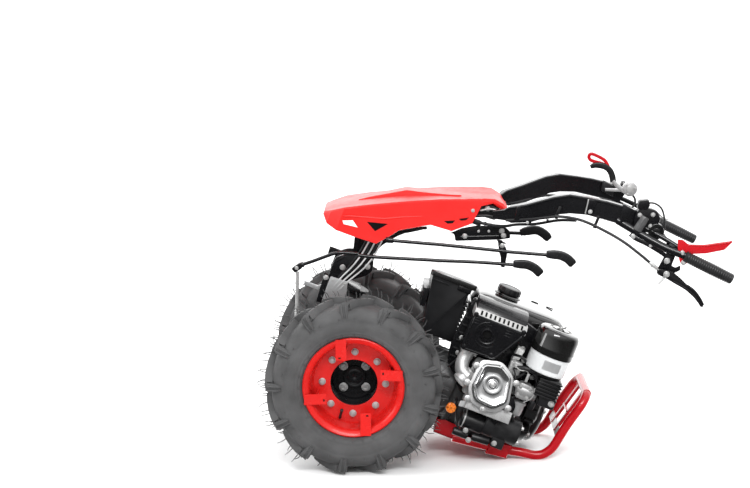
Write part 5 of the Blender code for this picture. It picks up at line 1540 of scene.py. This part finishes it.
# ---------------------------------------------------------------- hand controls
def clutch():
    """Near clutch bracket, hooked hand lever with its return spring, and the red stop lever."""
    y = -0.3
    bracket = Piece("clutch_bracket", "handlebar", "black", "steel", "plastic")
    plate = [(0.651, 0.617), (0.656, 0.672), (0.661, 0.68), (0.683, 0.681), (0.684, 0.6465),
             (0.6955, 0.645), (0.7065, 0.6565), (0.711, 0.643), (0.699, 0.63), (0.672, 0.6165)]
    bracket.side_plate(rounded_outline(plate, 0.003, 2), y - 0.0015, y + 0.0015, 0.0006)
    for x, z in ((0.667, 0.654), (0.677, 0.6215)):
        washer_bolt(bracket, x, y - 0.0015, z, -1, 0.011)
    bracket.sweep([(0.662, y + 0.014 * math.cos(math.radians(a)),
                    0.6895 + 0.014 * math.sin(math.radians(a))) for a in range(-150, 151, 20)],
                  rounded(0.016, 0.003, 0.001, 2), roll=(0, 0, -1))
    bracket.sweep(flow([(0.548, y + 0.016, 0.684), (0.566, y + 0.012, 0.6785),
                        (0.6, y + 0.006, 0.6765), (0.64, y + 0.004, 0.67),
                        (0.657, y + 0.003, 0.666)], 5), rounded(0.012, 0.0035, 0.001, 2),
                  roll=(0, 1, 0))
    for x, z in ((0.556, 0.682), (0.61, 0.676)):
        washer_bolt(bracket, x, y + 0.008, z, -1, 0.009, head=0.004)
    bracket.done()

    lever = Piece("clutch_lever_hook", "handlebar", "black", "steel", stands_for=("clutch_lever",),
                  slot="black_paint")
    mid = middle("clutch_lever")
    outer = [(0.649, 0.617), (0.655, 0.628), (0.678, 0.633), (0.697, 0.632), (0.719, 0.6245),
             (0.738, 0.616), (0.75, 0.615), (0.762, 0.6085), (0.79, 0.591), (0.805, 0.579),
             (0.805, 0.573), (0.798, 0.5715), (0.785, 0.5835), (0.741, 0.601), (0.678, 0.6105),
             (0.656, 0.6115)]
    lever.side_plate(rounded_outline(outer, 0.003, 2), mid - 0.0025, mid + 0.0025, 0.0008)
    lever.wire(at_y(mid, (0.745, 0.611), (0.765, 0.606), (0.79, 0.5905), (0.8035, 0.578)), 0.0042)
    lever.wire(at_y(mid, (0.7, 0.61), (0.741, 0.6035), (0.77, 0.5935), (0.8, 0.576)), 0.0036)
    washer_bolt(lever, 0.677, mid - 0.0025, 0.6215, -1, 0.011)
    spring = []
    for k in range(60):
        share = k / 59
        angle = 2 * math.pi * 7 * share
        spring.append((0.664 + 0.01 * share + 0.0034 * math.cos(angle), mid - 0.0065,
                       0.588 + 0.026 * share + 0.0034 * math.sin(angle)))
    lever.sweep(spring, circle(0.0009, 6), 1)
    lever.done()

    mid = middle("stop_lever")
    stop = Piece("stop_lever_blade", "handlebar", "bumper", "steel", stands_for=("stop_lever",),
                 slot="red_paint")
    blade = [(0.668, 0.7215), (0.681, 0.7255), (0.7, 0.7195), (0.74, 0.734), (0.806, 0.7715),
             (0.8095, 0.77), (0.797, 0.741), (0.755, 0.714), (0.712, 0.695), (0.717, 0.668),
             (0.709, 0.66), (0.697, 0.666), (0.687, 0.682), (0.676, 0.703)]
    stop.side_plate(rounded_outline(blade, 0.003, 2), mid - 0.002, mid + 0.002, 0.0007)
    stop.sweep([(x, mid - 0.0022, z) for x, z in ((0.7, 0.717), (0.742, 0.732), (0.803, 0.7665))],
               circle(0.0022, 8), 0, scale=[0.7, 1.0, 0.8])
    for x, z in ((0.694, 0.6915), (0.707, 0.668)):
        washer_bolt(stop, x, mid - 0.002, z, -1, 0.009)
    stop.done()


def pods():
    """Switch pod on the near arm, and the small one on the far arm."""
    y = -0.27
    pod = Piece("switch_pod_near", "handlebar", "black", "steel", "gloss", "cable", "dull")
    pod.side_plate(rounded_outline([(0.536, 0.779), (0.559, 0.791), (0.5695, 0.776), (0.566, 0.762),
                                    (0.545, 0.754), (0.538, 0.76)], 0.004, 2),
                   y - 0.012, y + 0.012, 0.003)
    pod.side_plate(rounded_outline([(0.541, 0.733), (0.546, 0.764), (0.578, 0.77), (0.596, 0.769),
                                    (0.612, 0.75), (0.606, 0.712), (0.587, 0.702),
                                    (0.552, 0.696)], 0.006, 2), y - 0.01, y + 0.018, 0.003)
    pod.rod((0.612, y - 0.016, 0.716), (0.612, y + 0.016, 0.716), 0.0225, mat=0, bevel=0.004,
            sides=40)
    pod.lathe([(0.013, 0.0), (0.02, 0.0), (0.02, 0.0016), (0.013, 0.0016)], 2,
              facing((0, -1, 0), (0.612, y - 0.0155, 0.716)), 36, closed=True)
    pod.rod((0.612, y - 0.0195, 0.716), (0.612, y - 0.015, 0.716), 0.011, mat=2, bevel=0.002,
            sides=32)
    # fluted sleeve of the adjuster
    low, high = Vector((0.561, y - 0.018, 0.7)), Vector((0.568, y - 0.018, 0.744))
    pod.rod(low, high, 0.012, 0.0105, 4, 28, 0.002)
    for k in range(14):
        a = 2 * math.pi * k / 14
        off = Vector((0.0112 * math.cos(a), 0.0112 * math.sin(a), 0.0))
        pod.rod(low + off + Vector((0, 0, 0.003)), high + off * 0.9 - Vector((0, 0, 0.003)), 0.0015,
                mat=4, sides=8)
    pod.wire([(0.628, y, 0.719), (0.646, y - 0.012, 0.708), (0.652, y - 0.022, 0.692),
              (0.64, y - 0.024, 0.68)], 0.003, 3, sides=10)
    pod.wire([(0.556, y, 0.778), (0.58, y - 0.006, 0.786), (0.604, y - 0.006, 0.778),
              (0.624, y - 0.004, 0.75), (0.632, y - 0.004, 0.724)], 0.0026, 3, sides=10)
    pod.wire([(0.6, y + 0.004, 0.764), (0.62, y + 0.004, 0.756), (0.634, y + 0.002, 0.76)], 0.0022,
             1, sides=10)
    for x, z in ((0.586, 0.756), (0.553, 0.742), (0.592, 0.724)):
        pod.bolt((x, y - 0.01, z), (0, -1, 0), 0.008, 1, head=0.004)
    pod.side_plate(rounded_outline([(0.5, 0.754), (0.54, 0.748), (0.548, 0.696), (0.512, 0.698)],
                                   0.004, 2), y - 0.002, y + 0.012, 0.002)
    pod.done()

    low, high = machine_box("control_cluster")
    far = Piece("switch_pod_far", "handlebar", "plastic", "steel", "gloss",
                stands_for=("control_cluster",), slot="black_plastic")
    far.block(low, high, 0.0045, segments=3)
    mid_x, mid_z = (low.x + high.x) / 2, (low.z + high.z) / 2
    far.rod((mid_x, low.y - 0.003, mid_z), (mid_x, low.y + 0.004, mid_z), 0.009, mat=2, bevel=0.001)
    for x in (low.x + 0.005, high.x - 0.005):
        far.bolt((x, low.y, high.z - 0.005), (0, -1, 0), 0.005, 1, washer=False, head=0.002)
    far.done()


def throttle():
    """Far throttle and stop levers with the silver casting and its cable."""
    mid = machine_box("throttle_lever")[0].y - 0.012
    lever = Piece("throttle_levers", "handlebar", "plastic", "cast", "bumper", "steel", "cable",
                  stands_for=("throttle_lever",), slot="black_plastic")
    lever.sweep(flow(at_y(mid, (0.449, 0.773), (0.462, 0.784), (0.486, 0.79), (0.506, 0.785),
                          (0.52, 0.772), (0.53, 0.756)), 4), rounded(0.0185, 0.013, 0.004, 3), 0,
                roll=(0, 1, 0), scale=[0.55, 0.7, 0.8, 0.85, 0.9, 0.95] + [1.0] * 15)
    lever.sweep(flow([(0.512, mid, 0.778), (0.496, mid, 0.796), (0.478, mid + 0.002, 0.808),
                      (0.44, mid + 0.004, 0.811), (0.433, mid + 0.004, 0.801),
                      (0.444, mid + 0.004, 0.792), (0.476, mid + 0.002, 0.795),
                      (0.498, mid, 0.79)], 4),
                rounded(0.0105, 0.008, 0.002, 2), 2, roll=(0, 1, 0))
    lever.sweep(at_y(mid - 0.004, (0.527, 0.759), (0.545, 0.75), (0.574, 0.742)),
                rounded(0.013, 0.006, 0.002, 2), 1, roll=(0, 1, 0))
    lever.sweep(at_y(mid - 0.002, (0.516, 0.726), (0.545, 0.736), (0.58, 0.75)),
                rounded(0.01, 0.006, 0.002, 2), 1, roll=(0, 1, 0))
    lever.side_plate(rounded_outline([(0.5, 0.75), (0.535, 0.746), (0.548, 0.714), (0.506, 0.718)],
                                     0.005, 2), mid - 0.002, mid + 0.016, 0.002, 0)
    lever.rod((0.584, mid - 0.009, 0.755), (0.584, mid + 0.007, 0.755), 0.0225, mat=1,
              bevel=0.003, sides=36)
    lever.rod((0.584, mid - 0.0115, 0.755), (0.584, mid - 0.008, 0.755), 0.011, mat=3,
              bevel=0.001, sides=28)
    for a in (30, 150, 270):
        turn = math.radians(a)
        lever.bolt((0.584 + 0.0165 * math.cos(turn), mid - 0.009, 0.755 + 0.0165 * math.sin(turn)),
                   (0, -1, 0), 0.006, 3, washer=False, head=0.003)
    lever.wire([(0.586, mid + 0.006, 0.743), (0.606, mid + 0.012, 0.737),
                (0.618, mid + 0.014, 0.722), (0.614, mid + 0.01, 0.703),
                (0.59, mid + 0.002, 0.691)], 0.0032, 4, sides=10)
    lever.done()


# ---------------------------------------------------------------- rods, guide and lever plate
ROD = 0.005   # radius of the long rods and the link


def rod_handle(node, name, points, rib_x, rib_low, rib_high):
    """Moulded handle drooping at its end, with three short ribs on its near side."""
    mid = middle(node)
    handle = Piece(name, "handlebar", "plastic", stands_for=(node,), slot="black_plastic")
    handle.sweep(flow(at_y(mid, *points), 5), rounded(0.026, 0.014, 0.005, 3), 0,
                 scale=[(0.7, 0.8)] + [(0.78 + 0.22 * min(1, k / 6), 1.0) for k in range(1, 17)]
                 + [(1.0, 1.0)] * 3 + [(0.75, 0.75)], roll=(0, 1, 0))
    for k in range(3):
        handle.sweep([(rib_x + 0.014 * k, mid - 0.0072, rib_low),
                      (rib_x + 0.004 + 0.014 * k, mid - 0.0074, rib_high)], circle(0.0012, 8))
    handle.done()


def control_rods():
    """The two long control rods with their moulded handles."""
    y = middle("gear_rod")
    gear = Piece("gear_rod_bar", "handlebar", "black", "steel", stands_for=("gear_rod",),
                 slot="black_paint")
    gear.wire(at_y(y, (-0.049, 0.401), (0.059, 0.433), (0.087, 0.4415), (0.245, 0.4855),
                   (0.276, 0.4935), (0.388, 0.5275)), ROD, sides=14)
    gear.rod((-0.06, y, 0.3985), (-0.04, y, 0.4045), 0.0085, mat=0, bevel=0.001)
    gear.done()

    rod_handle("gear_rod_handle", "gear_rod_knob",
               ((0.378, 0.5265), (0.394, 0.532), (0.417, 0.538), (0.44, 0.536),
                (0.461, 0.5265)), 0.405, 0.53, 0.546)

    y = middle("pto_rod")
    rod = Piece("pto_rod_bar", "handlebar", "black", "steel", stands_for=("pto_rod",),
                slot="black_paint")
    rod.wire(at_y(y, (0.306, 0.465), (0.205, 0.4335), (0.104, 0.3985), (0.076, 0.3895),
                  (-0.067, 0.342), (-0.118, 0.328)), ROD, sides=14)
    rod.done()

    rod_handle("pto_rod_handle", "pto_rod_knob",
               ((0.301, 0.4665), (0.317, 0.472), (0.34, 0.4785), (0.364, 0.4765),
                (0.386, 0.467)), 0.328, 0.47, 0.4865)


def rear_linkage():
    """Rear half of the lower rod, its ball knuckle, and the bright link to the selector lever."""
    y = middle("pto_rod_rear")
    rear = Piece("pto_rod_rear_bar", "chassis", "black", "steel", stands_for=("pto_rod_rear",),
                 slot="black_paint")
    rear.wire(at_y(y, (-0.118, 0.33), (-0.137, 0.324), (-0.165, 0.315), (-0.185, 0.3035),
                   (-0.199, 0.2915), (-0.229, 0.2645), (-0.258, 0.24)), ROD, sides=14)
    rear.rod((-0.252, y, 0.245), (-0.262, y, 0.2365), 0.0078, mat=0, bevel=0.001)
    rear.side_plate(rounded_outline([(-0.281, 0.221), (-0.263, 0.248), (-0.251, 0.235),
                                     (-0.267, 0.213)], 0.005, 3), y - 0.0085, y + 0.0085, 0.002)
    rear.rod((-0.267, y - 0.0125, 0.229), (-0.267, y + 0.0125, 0.229), 0.0055, mat=1, bevel=0.001)
    rear.done()

    y = middle("pto_link")
    link = Piece("pto_link_rod", "chassis", "steel", "black", stands_for=("pto_link",),
                 slot="bright_metal")
    link.sweep(at_y(y, (-0.2615, 0.218), (-0.24, 0.161), (-0.217, 0.099), (-0.211, 0.082)),
               circle(ROD, 16))
    for k in range(5):
        z = 0.112 - 0.006 * k
        x = -0.2225 + (0.112 - z) * 0.37
        link.rod((x, y, z), (x + 0.001, y, z - 0.0026), 0.0062, mat=0, sides=16)
    link.rod((-0.212, y - 0.01, 0.082), (-0.212, y + 0.01, 0.082), 0.0085, mat=1, bevel=0.002)
    link.done()


def guides():
    """Rod guide hook, the pressed lever plate and the short height lever."""
    low = machine_box("rod_guide")[0]
    guide = Piece("rod_guide_plate", "handlebar", "black", "steel", stands_for=("rod_guide",),
                  slot="black_paint")
    outline = [(0.236, 0.512), (0.247, 0.516), (0.262, 0.504), (0.275, 0.49), (0.2785, 0.476),
               (0.2845, 0.445), (0.274, 0.442), (0.262, 0.47), (0.254, 0.479),
               (0.245, 0.495)]
    guide.side_plate(rounded_outline(outline, 0.003, 2), low.y, low.y + 0.003, 0.0006)
    guide.block((0.236, low.y, 0.508), (0.262, low.y + 0.02, 0.511), 0.0008)
    washer_bolt(guide, 0.2545, low.y, 0.501, -1, 0.009, head=0.004)
    guide.done()

    low = machine_box("lever_plate")[0]
    plate = Piece("lever_plate_pressing", "handlebar", "black", "steel",
                  stands_for=("lever_plate",), slot="black_paint")
    outline = [(0.104, 0.477), (0.116, 0.48), (0.127, 0.462), (0.19, 0.489), (0.242, 0.5115),
               (0.27, 0.527), (0.261, 0.545), (0.247, 0.551), (0.233, 0.547),
               (0.169, 0.527), (0.13, 0.503)]
    plate.side_plate(rounded_outline(outline, 0.004, 2), low.y, low.y + 0.003, 0.0007)
    plate.sweep(at_y(low.y - 0.0004, (0.136, 0.479), (0.19, 0.502), (0.236, 0.5215)),
                circle(0.002, 8))
    for x, z in ((0.147, 0.485), (0.239, 0.538), (0.249, 0.527)):
        washer_bolt(plate, x, low.y, z, -1, 0.01, head=0.005)
    for x, z in ((0.178, 0.513), (0.205, 0.524)):
        plate.rod((x, low.y - 0.001, z), (x, low.y - 0.0045, z), 0.004, mat=1, bevel=0.001)
    plate.done()

    mid = middle("height_lever")
    lever = Piece("height_lever_handle", "handlebar", "plastic", "black", "steel",
                  stands_for=("height_lever",), slot="black_plastic")
    lever.wire(at_y(mid, (0.226, 0.522), (0.248, 0.529), (0.274, 0.5385), (0.302, 0.548)), 0.0052,
               1, steps=4, sides=14)
    lever.sweep(flow(at_y(
        mid, (0.294, 0.547), (0.312, 0.56), (0.336, 0.5715), (0.36, 0.569), (0.3795, 0.56)), 4),
        rounded(0.026, 0.015, 0.005, 3), 0, scale=[(0.75, 0.8)] * 2 + [(0.92, 0.95)] * 2
        + [(1.0, 1.0)] * 11 + [(0.9, 0.9), (0.72, 0.72)], roll=(0, 1, 0))
    lever.done()


def clutch_wire():
    """Clutch cable from the console to the hand lever, with its clips and adjuster."""
    cable = Piece("clutch_cable_jacket", "handlebar", "cable", "steel", "plastic",
                  stands_for=("clutch_cable",), slot="black_plastic")
    run = [(0.232, -0.16, 0.579), (0.281, -0.19, 0.606), (0.318, -0.208, 0.628),
           (0.352, -0.22, 0.648), (0.388, -0.23, 0.66), (0.428, -0.242, 0.666),
           (0.486, -0.262, 0.664), (0.541, -0.282, 0.657), (0.59, -0.296, 0.644),
           (0.628, -0.304, 0.632)]
    cable.wire(run, 0.004, steps=6, sides=14)
    cable.rod((0.624, -0.3035, 0.6335), (0.65, -0.306, 0.625), 0.0055, mat=1, bevel=0.001)
    cable.rod((0.632, -0.3045, 0.631), (0.638, -0.305, 0.629), 0.0078, mat=1, sides=6)
    cable.rod((0.65, -0.306, 0.625), (0.662, -0.309, 0.621), 0.0018, mat=1)
    for (x, y, z) in ((0.351, -0.22, 0.6475), (0.455, -0.251, 0.6655)):
        cable.sweep([(x - 0.004, y, z - 0.001), (x + 0.004, y, z + 0.001)], circle(0.0066, 16), 2)
        cable.side_plate([(x - 0.004, z), (x + 0.004, z), (x + 0.004, z + 0.03),
                          (x - 0.004, z + 0.03)], y - 0.001, y + 0.0012, 0.0006, 2)
    cable.rod((0.285, -0.193, 0.6), (0.285, -0.201, 0.6), 0.0042, mat=1, bevel=0.001)
    cable.done()


# ---------------------------------------------------------------- assembly
def wheels():
    """Tyre, rim and hub of both wheels."""
    for side, suffix in BOTH_SIDES:
        tyre(side, suffix)
        rim(side, suffix)
        hub(side, suffix)


def recolour():
    """Give the CAD nodes that still show their finished material."""
    finish = {"red_paint": "red", "console_red": "console", "bumper_red": "bumper",
              "black_paint": "black", "black_plastic": "plastic", "gloss_black": "gloss",
              "rubber": "tyre", "grip_rubber": "rubber", "cast_aluminium": "cast",
              "bright_metal": "chrome", "grey_plastic": "grey", "cast_iron": "iron"}
    slots = {part["node"]: part["material_slot"] for part in frame["record"]["subparts"]}
    for name, obj in frame["nodes"].items():
        if obj.hide_render:
            continue
        for slot in obj.material_slots:
            slot.material = MATS[finish[slots[name]]]


studio()
wheels()
bumper()
crankcase()
blower_housing()
cylinder()
exhaust()
fuel()
air_cleaner()
carburettor()
starter()
battery()
gearbox()
column()
console()
under_console()
arms()
clutch()
pods()
throttle()
control_rods()
rear_linkage()
guides()
clutch_wire()
recolour()
